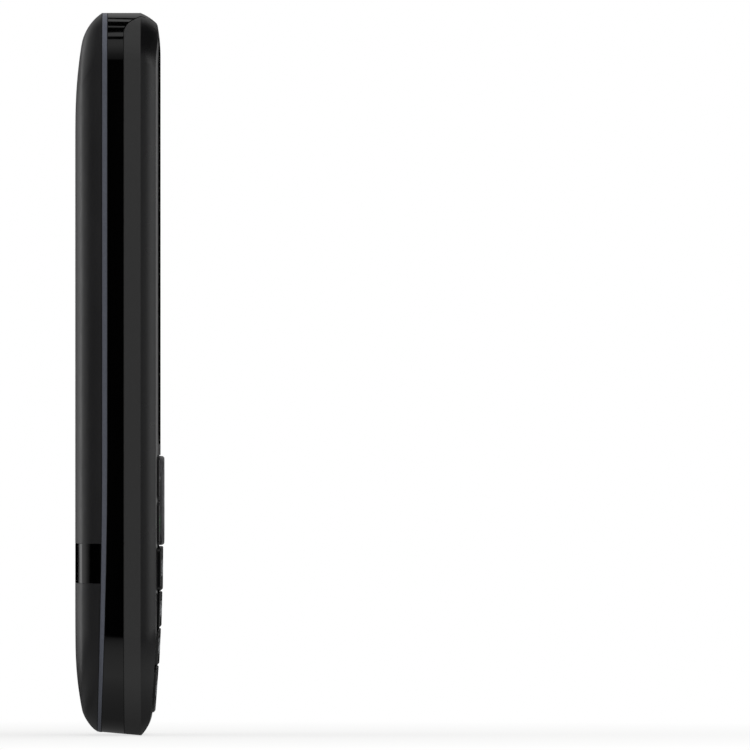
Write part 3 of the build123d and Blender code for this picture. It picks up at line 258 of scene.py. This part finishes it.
def case_abs():
    """ABS moulded in a spark-eroded tool, with an even fine grit, and lacquered in front of the crease,
    where it is also painted darker as shade.
    """
    made, tree, shader = start("case_abs", "343434", 0.5, {"IOR": 1.53})
    crease = FRONT_Y + CREASE_FROM_FRONT
    bezel_shade_and_gloss = zone(tree, (axes(tree)["Y"], crease, crease - PAINT_EDGE, 0.0, 1.0))
    # In front of the crease the darker colour is painted shade along the chamfer; the lower roughness there
    # is the lacquer
    tint(tree, shader, "303030", "0e0e0f", bezel_shade_and_gloss, spread=(0.0, 1.0))
    gritty = zone(tree, (grain(tree, 2.2), 0.0, 1.0, 0.46, 0.56))
    satin = zone(tree, (grain(tree, 3.0), 0.0, 1.0, 0.26, 0.3))
    mixed = node(tree, "Mix", {0: bezel_shade_and_gloss, 2: gritty, 3: satin}).outputs[0]
    tree.links.new(mixed, shader.inputs["Roughness"])
    # The real grit is about 0.05 mm, too fine to show, so it is drawn at 0.3 mm
    relief(tree, shader, grain(tree, 0.3), height=0.008, strength=0.4)
    return made


def polished_black():
    """Polycarbonate from a mirror-polished tool: deep black, sharp reflections and faint wipe marks."""
    made, tree, shader = start("polished_black", "020202", 0.06, {"IOR": 1.55})
    vary(tree, shader, 0.04, 0.1, grain(tree, 6.0, stretch=(1.0, 1.0, 0.15)))
    return made


def blue_grey_paint():
    """ABS with blue-grey metallic paint: fine flakes under a satin lacquer."""
    made, tree, shader = start("blue_grey_paint", "5a5d67", 0.36, {"Metallic": 0.15, "IOR": 1.5})
    # Flakes are some hundredths of a mm, too fine to show, so they are drawn at 0.15 mm
    tint(tree, shader, "52555f", "62656f", grain(tree, 0.15))
    vary(tree, shader, 0.32, 0.42, grain(tree, 1.5))
    return made


def soft_touch_cover():
    """Polycarbonate with soft-touch paint: near black, a broad dull sheen and a skin like fine leather."""
    made, tree, shader = start("soft_touch_cover", "242425", 0.3, {"IOR": 1.5})
    tint(tree, shader, "232324", "262627", grain(tree, 12.0))
    vary(tree, shader, 0.28, 0.32, grain(tree, 2.5))
    # The sprayed skin's orange peel, about 0.4 mm
    relief(tree, shader, grain(tree, 0.4), height=0.008, strength=0.2)
    return made


def window_acrylic():
    """Acrylic window, black print behind it around the display, whose unlit layers show slightly lighter."""
    made, tree, shader = start("window_acrylic", "050506", 0.05, {"IOR": 1.49, "Coat Weight": 0.3})
    spot = axes(tree)
    low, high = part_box("display_panel")
    edges = []
    for index, axis in ((0, "X"), (2, "Z")):
        for side, corner in ((1, low), (-1, high)):
            picture = corner[index] / MM + side * VIEW_BORDER
            edges.append((spot[axis], picture - side * VIEW_EDGE, picture, 0.0, 1.0))
    tint(tree, shader, "040405", "14171a", zone(tree, *edges), spread=(0.0, 1.0))
    vary(tree, shader, 0.04, 0.08, grain(tree, 8.0))
    return made


def frosted_acrylic():
    """Acrylic diffuser, frosted in the tool, over a light guide that shows as a brighter core, with a faint
    painted glow.
    """
    sockets = {"IOR": 1.49, "Subsurface Weight": 0.15, "Subsurface Radius": (MM, MM, MM)}
    made, tree, shader = start("frosted_acrylic", "e4e4e4", 0.32, sockets)
    low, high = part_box("torch_lens")
    spot = axes(tree)
    # How far a point lies from the core's middle line, past its ends and beside it
    half = (CORE_LENGTH - CORE_WIDTH) / 2
    past = spot["X"]
    for operation, value in (("ABSOLUTE", 0.0), ("SUBTRACT", half), ("MAXIMUM", 0.0)):
        past = node(tree, "Math", {0: past, 1: value}, operation=operation).outputs[0]
    middle = (low.y + high.y) / 2 / MM
    beside = node(tree, "Math", {0: spot["Y"], 1: middle}, operation="SUBTRACT").outputs[0]
    both = node(tree, "CombineXYZ", {"X": past, "Y": beside}).outputs[0]
    reach = node(tree, "VectorMath", {0: both}, operation="LENGTH").outputs["Value"]
    outline = (reach, CORE_WIDTH / 2 + CORE_EDGE, CORE_WIDTH / 2, 0.0, 1.0)
    face = (spot["Z"], high.z / MM - CORE_DEPTH, high.z / MM, 0.0, 1.0)
    core = zone(tree, outline, face)
    colour = tint(tree, shader, "dcdcdd", "ffffff", core, spread=(0.0, 1.0))
    tree.links.new(colour, shader.inputs["Emission Color"])
    # The core's faint glow is painted light: the torch is off
    glow = zone(tree, (core, 0.0, 1.0, 0.0, CORE_PAINTED_GLOW))
    tree.links.new(glow, shader.inputs["Emission Strength"])
    relief(tree, shader, grain(tree, 0.25), height=0.006, strength=0.3)
    return made


def key_cap():
    """Key caps of black polycarbonate with a clear lacquer over the print."""
    made, tree, shader = start("key_cap", "0b0b0c", 0.18, {"IOR": 1.5})
    tint(tree, shader, "0a0a0b", "0d0d0e", grain(tree, 6.0))
    vary(tree, shader, 0.17, 0.2, grain(tree, 3.0))
    return made


def gunmetal_paint():
    """Navigation ring in gunmetal paint with fine lines brushed across it."""
    made, tree, shader = start("gunmetal_paint", "5a5a5c", 0.34, {"Metallic": 0.6})
    # Brush lines of about 0.1 mm, drawn out along X
    lines = grain(tree, 0.12, stretch=(0.02, 1.0, 1.0), detail=3.0)
    tint(tree, shader, "505052", "656567", lines)
    vary(tree, shader, 0.28, 0.4, lines)
    return made


def key_print():
    """Pad-printed white ink, slightly grey and matt."""
    made, tree, shader = start("key_print", "cfd2d6", 0.6)
    tint(tree, shader, "c6c9cd", "d8dbde", grain(tree, 0.4))
    return made


def call_print():
    """Pad-printed green ink."""
    made, tree, shader = start("call_print", "2fa84f", 0.55)
    tint(tree, shader, "2a9c49", "37b45a", grain(tree, 0.4))
    return made


def end_print():
    """Pad-printed red ink."""
    made, tree, shader = start("end_print", "c8342c", 0.55)
    tint(tree, shader, "bb2e27", "d43c33", grain(tree, 0.4))
    return made


def silicone():
    """Dark grey silicone rubber, moulded, with a dull skin."""
    made, tree, shader = start("silicone", "3a3a3e", 0.7, {"IOR": 1.41})
    tint(tree, shader, "36363a", "3f3f43", grain(tree, 3.0))
    relief(tree, shader, grain(tree, 0.3), height=0.01, strength=0.4)
    return made


def dome_film():
    """Clear polyester film over steel domes, warm grey with a soft shine."""
    made, tree, shader = start("dome_film", "bdb9ad", 0.3, {"IOR": 1.57})
    tint(tree, shader, "b4b0a4", "c6c2b6", grain(tree, 5.0))
    vary(tree, shader, 0.22, 0.4, grain(tree, 1.0))
    return made


def circuit_board():
    """Glass-epoxy board under green solder mask, with tracks showing through as lighter lines."""
    made, tree, shader = start("circuit_board", "14502c", 0.28, {"IOR": 1.55})
    tracks = cells(tree, 1.6, randomness=0.6, distance="CHEBYCHEV")
    tint(tree, shader, "0f4424", "1f6a3c", tracks, spread=(0.36, 0.4))
    relief(tree, shader, tracks, height=0.02, strength=0.3)
    return made


def tinned_steel():
    """Tin-plated sheet steel, pressed: pale grey with cloudy spots."""
    made, tree, shader = start("tinned_steel", "b4b4b0", 0.34, {"Metallic": 1.0})
    tint(tree, shader, "a8a8a4", "c0c0bc", grain(tree, 2.5))
    vary(tree, shader, 0.26, 0.44, grain(tree, 1.2))
    return made


def spring_steel():
    """Rolled stainless spring sheet, with fine rolling lines."""
    made, tree, shader = start("spring_steel", "a2a2a0", 0.26, {"Metallic": 1.0})
    vary(tree, shader, 0.18, 0.34, grain(tree, 0.15, stretch=(1.0, 1.0, 0.04)))
    tint(tree, shader, "989896", "acacaa", grain(tree, 1.5))
    return made


def blackened_steel():
    """Small steel screws, blackened and oiled."""
    made, tree, shader = start("blackened_steel", "4c4c4e", 0.32, {"Metallic": 1.0})
    tint(tree, shader, "3e3e40", "5a5a5c", grain(tree, 0.4))
    vary(tree, shader, 0.24, 0.42, grain(tree, 0.3))
    return made


def filled_nylon():
    """Glass-filled nylon of the inner frame: black with a greyish, slightly streaky skin."""
    made, tree, shader = start("filled_nylon", "1d1d1f", 0.55, {"IOR": 1.53})
    tint(tree, shader, "19191b", "242427", grain(tree, 1.2, stretch=(1.0, 1.0, 0.25)))
    relief(tree, shader, grain(tree, 0.35), height=0.012, strength=0.4)
    return made


def socket_polymer():
    """Liquid-crystal polymer of sockets and small parts: black, smooth and dull."""
    made, tree, shader = start("socket_polymer", "111112", 0.45, {"IOR": 1.6})
    tint(tree, shader, "0e0e0f", "161617", grain(tree, 1.5))
    vary(tree, shader, 0.4, 0.5, grain(tree, 0.6))
    return made


def battery_wrap():
    """Printed film round an aluminium can: slate grey, a paler band at the top end, satin."""
    made, tree, shader = start("battery_wrap", "33373f", 0.34, {"IOR": 1.5})
    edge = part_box("battery")[1].z / MM - BATTERY_BAND
    band = zone(tree, (axes(tree)["Z"], edge, edge + PAINT_EDGE, 0.0, 1.0))
    tint(tree, shader, "2e323a", "8b9098", band, spread=(0.0, 1.0))
    vary(tree, shader, 0.28, 0.4, grain(tree, 3.0))
    relief(tree, shader, grain(tree, 5.0), height=0.02, strength=0.3)
    return made


def contact_gold():
    """Gold-plated contact pads."""
    made, tree, shader = start("contact_gold", "d9b25a", 0.2, {"Metallic": 1.0})
    tint(tree, shader, "cfa650", "e0bb66", grain(tree, 0.5))
    return made


def seal_tape():
    """Black double-sided tape between the case parts: polyester film with a dull acrylic glue."""
    made, tree, shader = start("seal_tape", "060606", 0.6)
    tint(tree, shader, "050505", "080808", grain(tree, 1.0))
    return made


def foam():
    """Black polyurethane foam with open cells of about 0.25 mm, whose hollows are painted darker as shade.
    """
    made, tree, shader = start("foam", "18181a", 0.9, {"IOR": 1.45})
    pores_and_their_shade = cells(tree, 0.25)
    # The pores' hollows are darker: painted shade in the pores
    tint(tree, shader, "0c0c0d", "222224", pores_and_their_shade, spread=(0.1, 0.6))
    relief(tree, shader, pores_and_their_shade, height=0.05, strength=0.6)
    return made


def woven_mesh():
    """Woven wire of the earpiece, a 0.4 mm weave drawn a little coarse so that it shows."""
    made, tree, shader = start("woven_mesh", "3c3c3e", 0.4, {"Metallic": 0.9})
    holes = cells(tree, 0.4, randomness=0.0)
    tint(tree, shader, "060606", "4c4c4e", holes, spread=(0.22, 0.3))
    relief(tree, shader, holes, height=0.08, strength=0.7)
    return made


def display_cell():
    """Liquid-crystal cell, unlit: dark with its polariser's smooth front."""
    made, tree, shader = start("display_cell", "15181b", 0.12, {"IOR": 1.5})
    tint(tree, shader, "121518", "191c20", grain(tree, 10.0))
    vary(tree, shader, 0.1, 0.16, grain(tree, 4.0))
    return made


def polyimide():
    """Amber polyimide film with copper tracks running along it."""
    made, tree, shader = start("polyimide", "9a5a1c", 0.3, {"IOR": 1.6})
    # The tracks are 0.5 mm apart
    inputs = {0: axes(tree)["X"], 1: math.tau / 0.5}
    turns = node(tree, "Math", inputs, operation="MULTIPLY").outputs[0]
    tracks = node(tree, "Math", {0: turns}, operation="SINE").outputs[0]
    tint(tree, shader, "8a4e18", "b87630", tracks, spread=(-0.2, 0.2))
    return made


def motor_can():
    """Nickel-plated motor can with a soft drawn sheen."""
    made, tree, shader = start("motor_can", "b8b6b0", 0.24, {"Metallic": 1.0})
    vary(tree, shader, 0.18, 0.32, grain(tree, 0.2, stretch=(0.04, 1.0, 1.0)))
    return made


def sintered_tungsten():
    """Pressed and sintered tungsten weight: mid grey with a fine open grain."""
    made, tree, shader = start("sintered_tungsten", "7a7876", 0.5, {"Metallic": 1.0})
    tint(tree, shader, "6a6866", "8a8886", grain(tree, 0.12))
    relief(tree, shader, grain(tree, 0.12), height=0.01, strength=0.5)
    return made


def plated_brass():
    """Gold-flashed brass sheet of the antenna."""
    made, tree, shader = start("plated_brass", "c9a560", 0.28, {"Metallic": 1.0})
    tint(tree, shader, "bd9954", "d4b06c", grain(tree, 3.0))
    vary(tree, shader, 0.22, 0.36, grain(tree, 1.0))
    return made


def lamp_phosphor():
    """Light-emitting diodes: yellow phosphor in a clear cup."""
    made, tree, shader = start("lamp_phosphor", "e8d66a", 0.35, {"IOR": 1.5})
    tint(tree, shader, "e0cc58", "f0e07e", grain(tree, 0.5))
    return made


def studio_floor():
    """Pale board that the phone stands on. It fades to plain white away from the phone, and in reflections
    shows painted light and painted shadow.
    """
    made, tree, shader = start("studio_floor", "e0e0de", 0.9, {"Specular IOR Level": 0.1})
    spot = node(tree, "TexCoord").outputs["Object"]
    reach = node(tree, "VectorMath", {0: spot}, operation="LENGTH").outputs["Value"]
    reach = node(tree, "Math", {0: reach, 1: 1 / MM}, operation="MULTIPLY").outputs[0]
    painted_shade_behind = (axes(tree)["Y"], *FLOOR_PAINTED_SHADE_BEHIND)
    ray = node(tree, "LightPath").outputs
    seen = zone(tree, (reach, *FLOOR_FADE), (ray["Is Camera Ray"], 0.0, 1.0, 0.0, 1.0))
    # In reflections the board is an emission: a painted pool of light near the phone, painted shadow under
    # it and painted shade behind it
    levels = {0: zone(tree, (reach, *FLOOR_PAINTED_POOL), painted_shade_behind), 1: zone(tree, (reach, *FLOOR_PAINTED_SHADOW), painted_shade_behind)}
    painted_reflection_level = node(tree, "Math", levels, operation="MINIMUM").outputs[0]
    # It lights the phone no more than the studio around it does
    surface = shader.outputs[0]
    for share, strength in ((seen, 1.0), (ray["Is Glossy Ray"], painted_reflection_level), (ray["Is Diffuse Ray"], AMBIENT)):
        glow = node(tree, "Emission", {"Strength": strength}).outputs[0]
        surface = node(tree, "MixShader", {0: share, 1: surface, 2: glow}).outputs[0]
    tree.links.new(surface, tree.nodes["Material Output"].inputs["Surface"])
    return made


# Which finish each CAD node gets
FINISHES = {
    case_abs: ["front_case"],
    polished_black: ["side_band", "rear_strip"],
    blue_grey_paint: ["trim_ring"],
    soft_touch_cover: ["battery_cover"],
    window_acrylic: ["display_window"],
    frosted_acrylic: ["torch_lens"],
    key_cap: ["ok_key", "soft_left", "soft_right", "call_key", "end_key", "key_star", "key_hash", *LETTERS],
    gunmetal_paint: ["nav_ring"],
    silicone: ["keypad_mat"],
    dome_film: ["dome_sheet"],
    circuit_board: ["main_board", "torch_board"],
    tinned_steel: ["board_shields", "display_frame", "microphone", "usb_socket"],
    spring_steel: ["sim_socket_1", "sim_socket_2", "memory_card_socket"],
    blackened_steel: ["case_screws"],
    filled_nylon: ["rear_chassis", "antenna_carrier", "flex_connector"],
    socket_polymer: ["battery_connector", "earpiece_receiver", "loudspeaker", "headset_jack"],
    battery_wrap: ["battery"],
    foam: ["speaker_gasket", "display_gasket"],
    woven_mesh: ["earpiece_mesh"],
    display_cell: ["display_panel"],
    polyimide: ["display_flex"],
    motor_can: ["vibration_motor"],
    sintered_tungsten: ["motor_weight"],
    plated_brass: ["antenna_plate"],
    lamp_phosphor: ["torch_lamps"],
}


def dress_nodes():
    """Give every CAD node its finish."""
    for finish, names in FINISHES.items():
        made = finish()
        for name in names:
            for held in NODES[name].material_slots:
                held.material = made


def new_piece(name, mesh, body, material):
    """Put a mesh in the scene as a piece that rides on a body."""
    mesh.materials.clear()
    mesh.materials.append(material)
    piece = bpy.data.objects.new(name, mesh)
    bpy.context.scene.collection.objects.link(piece)
    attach(piece, body)
    return piece


def to_mesh(made, name):
    """Mesh of a finished bmesh, which is freed."""
    mesh = bpy.data.meshes.new(name)
    made.to_mesh(mesh)
    made.free()
    return mesh


def thicken(made, faces, lift):
    """Extrude faces of a bmesh by a lift in metres."""
    raised = bmesh.ops.extrude_face_region(made, geom=faces)
    moved = [item for item in raised["geom"] if isinstance(item, bmesh.types.BMVert)]
    bmesh.ops.translate(made, verts=moved, vec=lift)
    bmesh.ops.recalc_face_normals(made, faces=made.faces)


def flat_shape(name, outline, thickness=PRINT_THICKNESS):
    """Thin plate with an outline in mm, made in the XY plane."""
    made = bmesh.new()
    corners = [made.verts.new((x * MM, y * MM, -thickness / 2 * MM)) for x, y in outline]
    thicken(made, [made.faces.new(corners)], (0, 0, thickness * MM))
    bmesh.ops.triangulate(made, faces=made.faces)
    return to_mesh(made, name)


def rectangle(width, height):
    """Outline of a rectangle round the middle."""
    across, up = width / 2, height / 2
    return [(-across, -up), (across, -up), (across, up), (-across, up)]


def lettering(name, text, height):
    """Mesh of flat lettering, centred, with capitals of a height in mm."""
    curve = bpy.data.curves.new(name, "FONT")
    curve.body = text
    curve.size = height / CAP_SHARE * MM
    curve.extrude = PRINT_THICKNESS / 2 * MM
    curve.align_x = "CENTER"
    curve.align_y = "CENTER"
    holder = bpy.data.objects.new(name, curve)
    mesh = bpy.data.meshes.new_from_object(holder)
    bpy.data.objects.remove(holder)
    mesh.name = name
    return mesh


def lay_on(piece, name, across, height, turn):
    """Lay a flat piece, made in the XY plane, on the front of a CAD node, turned by an angle in degrees."""
    origin = Vector((across, LINE_START_Y, height)) * MM
    found, spot, normal, _ = NODES[name].ray_cast(origin, Vector((0, 1, 0)))
    if not found:
        raise ValueError(f"nothing of {name} at {across}, {height}")
    up = (Vector((0, 0, 1)) - normal * normal.z).normalized()
    right = up.cross(normal)
    spin = Matrix((right, up, normal)).transposed().to_4x4() @ Matrix.Rotation(math.radians(turn), 4, "Z")
    piece.data.transform(Matrix.Translation(spot + normal * PRINT_LIFT * MM) @ spin)


def print_on(key, name, mesh, ink, across, height, turn=0, slot="key_black"):
    """Print a flat mesh on a key, so that it rides on it."""
    piece = new_piece(name, mesh, key + "_body", ink)
    lay_on(piece, key, across, height, turn)


def key_middle(name):
    """Middle of a key's face, across and up, in mm."""
    low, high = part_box(name)
    return (low.x + high.x) / 2 / MM, (low.z + high.z) / 2 / MM


def print_digits(ink):
    """A digit on each number key, with its letters beside it."""
    for key, letters in LETTERS.items():
        across, height = key_middle(key)
        digit = key[-1]
        name = "print_" + key
        mesh = flat_shape(name, ONE_OUTLINE) if digit == "1" else lettering(name, digit, DIGIT_HEIGHT)
        print_on(key, name, mesh, ink, across + (DIGIT_ACROSS if letters else 0.0), height)
        if letters:
            name = "small_" + name
            print_on(key, name, lettering(name, letters, SMALL_HEIGHT), ink, across + SMALL_ACROSS, height)


def print_star_and_hash(ink):
    """Star and hash on the lowest keys, level with the nought. The star's sign itself sits high."""
    middle = key_middle("key_0")[1]
    signs = (("key_star", "*", -SIGN_ACROSS, middle - STAR_DROP), ("key_hash", "#", SIGN_ACROSS, middle))
    for key, sign, across, height in signs:
        name = "print_" + key
        print_on(key, name, lettering(name, sign, SIGN_HEIGHT), ink, across, height)


def arc(radius, begin, end):
    """Points of an arc over the middle, between two angles from straight up."""
    turns = [begin + (end - begin) * step / ARC_STEPS for step in range(ARC_STEPS + 1)]
    return [(radius * math.sin(turn), radius * math.cos(turn)) for turn in turns]


def handset_outline():
    """Outline of a telephone handset seen from its side, earpiece and mouthpiece down."""
    reach, neck = math.radians(HANDSET_REACH), math.radians(HANDSET_NECK)
    tip = (CUP_RADIUS * math.sin(reach), CUP_RADIUS * math.cos(reach))
    hollow = (CUP_ACROSS * math.sin(neck), CUP_UP * math.cos(neck))
    ends = [(-hollow[0], hollow[1]), (-tip[0], tip[1])]
    outline = arc(HANDSET_OUTER, -reach, reach) + [tip, hollow] + arc(HANDSET_INNER, neck, -neck) + ends
    middle = (HANDSET_OUTER + HANDSET_FOOT * math.cos(reach)) / 2
    return [(x, y - middle) for x, y in outline]


def print_handsets(call_ink, end_ink):
    """A handset on the call key, tilted as if lifted, and a level one on the end key."""
    for key, ink, turn in (("call_key", call_ink, CALL_TURN), ("end_key", end_ink, 0)):
        name = "print_" + key
        print_on(key, name, flat_shape(name, handset_outline()), ink, *key_middle(key), turn)


def print_dashes(ink):
    """A short dash on each soft key."""
    for key in ("soft_left", "soft_right"):
        name = "print_" + key
        print_on(key, name, flat_shape(name, rectangle(DASH_WIDTH, DASH_HEIGHT)), ink, *key_middle(key))


def print_arrows(ink):
    """Four arrows on the navigation ring, pointing outwards."""
    across, height = key_middle("nav_ring")
    places = ((0, ARROW_UP), (-ARROW_ACROSS, 0), (0, -ARROW_UP), (ARROW_ACROSS, 0))
    for index, (right, up) in enumerate(places):
        name = f"nav_arrow_{index + 1}"
        mesh = flat_shape(name, ARROW_OUTLINE)
        print_on("nav_ring", name, mesh, ink, across + right, height + up, 90 * index, "nav_metal")


def print_keys():
    """Digits, letters and signs on the keys, each riding on its own key."""
    white, green, red = key_print(), call_print(), end_print()
    print_digits(white)
    print_star_and_hash(white)
    print_handsets(green, red)
    print_dashes(white)
    print_arrows(white)


def battery_contacts():
    """Three gold pads on the battery's lower end, over the connector's springs."""
    gold = contact_gold()
    low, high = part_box("battery")
    middle = (low.y + high.y) / 2 - PAD_FORWARD * MM
    for index in range(3):
        name = f"battery_contact_{index + 1}"
        mesh = flat_shape(name, rectangle(PAD_WIDTH, PAD_HEIGHT), PAD_THICKNESS)
        piece = new_piece(name, mesh, "battery_pack", gold)
        spot = Vector(((index - 1) * PAD_PITCH * MM, middle, low.z + PAD_INSET * MM))
        piece.data.transform(Matrix.Translation(spot) @ Matrix.Rotation(math.pi, 4, "X"))


def seal(name, source, side, depths, tape):
    """Tape in a joint, on a CAD node's faces that look forward (-1) or back (1) between two depths in mm."""
    made = bmesh.new()
    made.from_mesh(NODES[source].data)
    made.normal_update()
    others = []
    for face in made.faces:
        depth = face.calc_center_median().y / MM
        if face.normal.y * side < SQUARE_ON or not depths[0] < depth < depths[1]:
            others.append(face)
    bmesh.ops.delete(made, geom=others, context="FACES")
    bmesh.ops.remove_doubles(made, verts=made.verts, dist=WELD * MM)
    bmesh.ops.translate(made, verts=made.verts, vec=(0, side * SEAL_CLEARANCE * MM, 0))
    thicken(made, made.faces[:], (0, side * SEAL_THICKNESS * MM, 0))
    new_piece(name, to_mesh(made, name), "phone", tape)


def seals():
    """Tapes that close the joints between case, band, trim and cover."""
    tape = seal_tape()
    seal("band_tape", "side_band", -1, (BAND_FACE - BAND_FACE_SLACK, BAND_FACE + BAND_FACE_SLACK), tape)
    seal("trim_front_tape", "trim_ring", -1, (FRONT_Y, -FRONT_Y), tape)
    seal("trim_back_tape", "trim_ring", 1, (FRONT_Y, -FRONT_Y), tape)


def camera():
    """Level camera at the phone's left side, with the phone at its place in the photograph."""
    distance = PIXELS * MM_PER_PIXEL * MM * LENS / SENSOR
    data = bpy.data.cameras.new("camera")
    data.lens = LENS
    data.sensor_width = SENSOR
    data.clip_end = 4 * distance
    made = bpy.data.objects.new("camera", data)
    depth = (MIDDLE_PIXEL_X - PIXELS / 2) * MM_PER_PIXEL * MM
    height = (BOTTOM_PIXEL_Y - PIXELS / 2) * MM_PER_PIXEL * MM
    made.location = (-distance, depth, height)
    made.rotation_euler = Vector((1, 0, 0)).to_track_quat("-Z", "Y").to_euler()
    bpy.context.scene.collection.objects.link(made)
    bpy.context.scene.camera = made


def floor():
    """Round pale board under the phone."""
    made = bmesh.new()
    bmesh.ops.create_circle(made, cap_ends=True, segments=FLOOR_SIDES, radius=FLOOR_RADIUS * MM)
    mesh = to_mesh(made, "floor")
    mesh.materials.append(studio_floor())
    board = bpy.data.objects.new("floor", mesh)
    bpy.context.scene.collection.objects.link(board)


def reflected(tree):
    """How bright the studio is in reflections: dark, with pale walls and soft lamps."""
    way = node(tree, "SeparateXYZ", {"Vector": node(tree, "TexCoord").outputs["Generated"]}).outputs
    measures = {"back": way["Y"], "up": way["Z"]}
    for name, axis in (("aside", "X"), ("along", "Y")):
        measures[name] = node(tree, "Math", {0: way[axis]}, operation="ABSOLUTE").outputs[0]
    level = 0.0
    for joining, *edges in REFLECTIONS:
        glow = zone(tree, *[(measures[name], *limits) for name, *limits in edges])
        level = node(tree, "Math", {0: level, 1: glow}, operation=joining).outputs[0]
    return level


def surroundings():
    """White to the eye and through clear parts, the dark studio in gloss, and even light on matt parts."""
    world = bpy.data.worlds.new("studio")
    bpy.context.scene.world = world
    world.use_nodes = True
    world.cycles.sampling_method = "NONE"
    tree = world.node_tree
    ray = node(tree, "LightPath").outputs
    level = node(tree, "Mix", {0: ray["Is Glossy Ray"], 2: AMBIENT, 3: reflected(tree)}).outputs[0]
    inputs = {0: ray["Is Camera Ray"], 1: ray["Is Transmission Ray"]}
    seen = node(tree, "Math", inputs, operation="MAXIMUM").outputs[0]
    strength = node(tree, "Mix", {0: seen, 2: level, 3: 1.0}).outputs[0]
    background = tree.nodes["Background"]
    background.inputs["Color"].default_value = (1, 1, 1, 1)
    tree.links.new(strength, background.inputs["Strength"])


def softbox(name, azimuth, distance, height, power):
    """Square lamp turned to the phone's middle. Neither the lamp nor its reflection shows."""
    light = bpy.data.lights.new(name, "AREA")
    light.shape = "RECTANGLE"
    light.size = SOFTBOX_SIZE * MM
    light.size_y = SOFTBOX_SIZE * MM
    light.energy = power
    lamp = bpy.data.objects.new(name, light)
    turn = math.radians(azimuth)
    lamp.location = Vector((math.sin(turn) * distance, -math.cos(turn) * distance, height)) * MM
    aim = Vector((0, 0, AIM_HEIGHT * MM)) - lamp.location
    lamp.rotation_euler = aim.to_track_quat("-Z", "Y").to_euler()
    lamp.visible_camera = False
    lamp.visible_glossy = False
    bpy.context.scene.collection.objects.link(lamp)


def lamps():
    """Softboxes round the phone and one overhead."""
    for index, (azimuth, power) in enumerate(SOFTBOXES):
        softbox(f"softbox_{index + 1}", azimuth, SOFTBOX_DISTANCE, SOFTBOX_HEIGHT, power)
    softbox("overhead_softbox", 0, OVERHEAD_DISTANCE, OVERHEAD_HEIGHT, OVERHEAD_POWER)


camera()
floor()
surroundings()
lamps()
dress_nodes()
print_keys()
battery_contacts()
seals()

scene = bpy.context.scene
scene.view_settings.view_transform = "Standard"
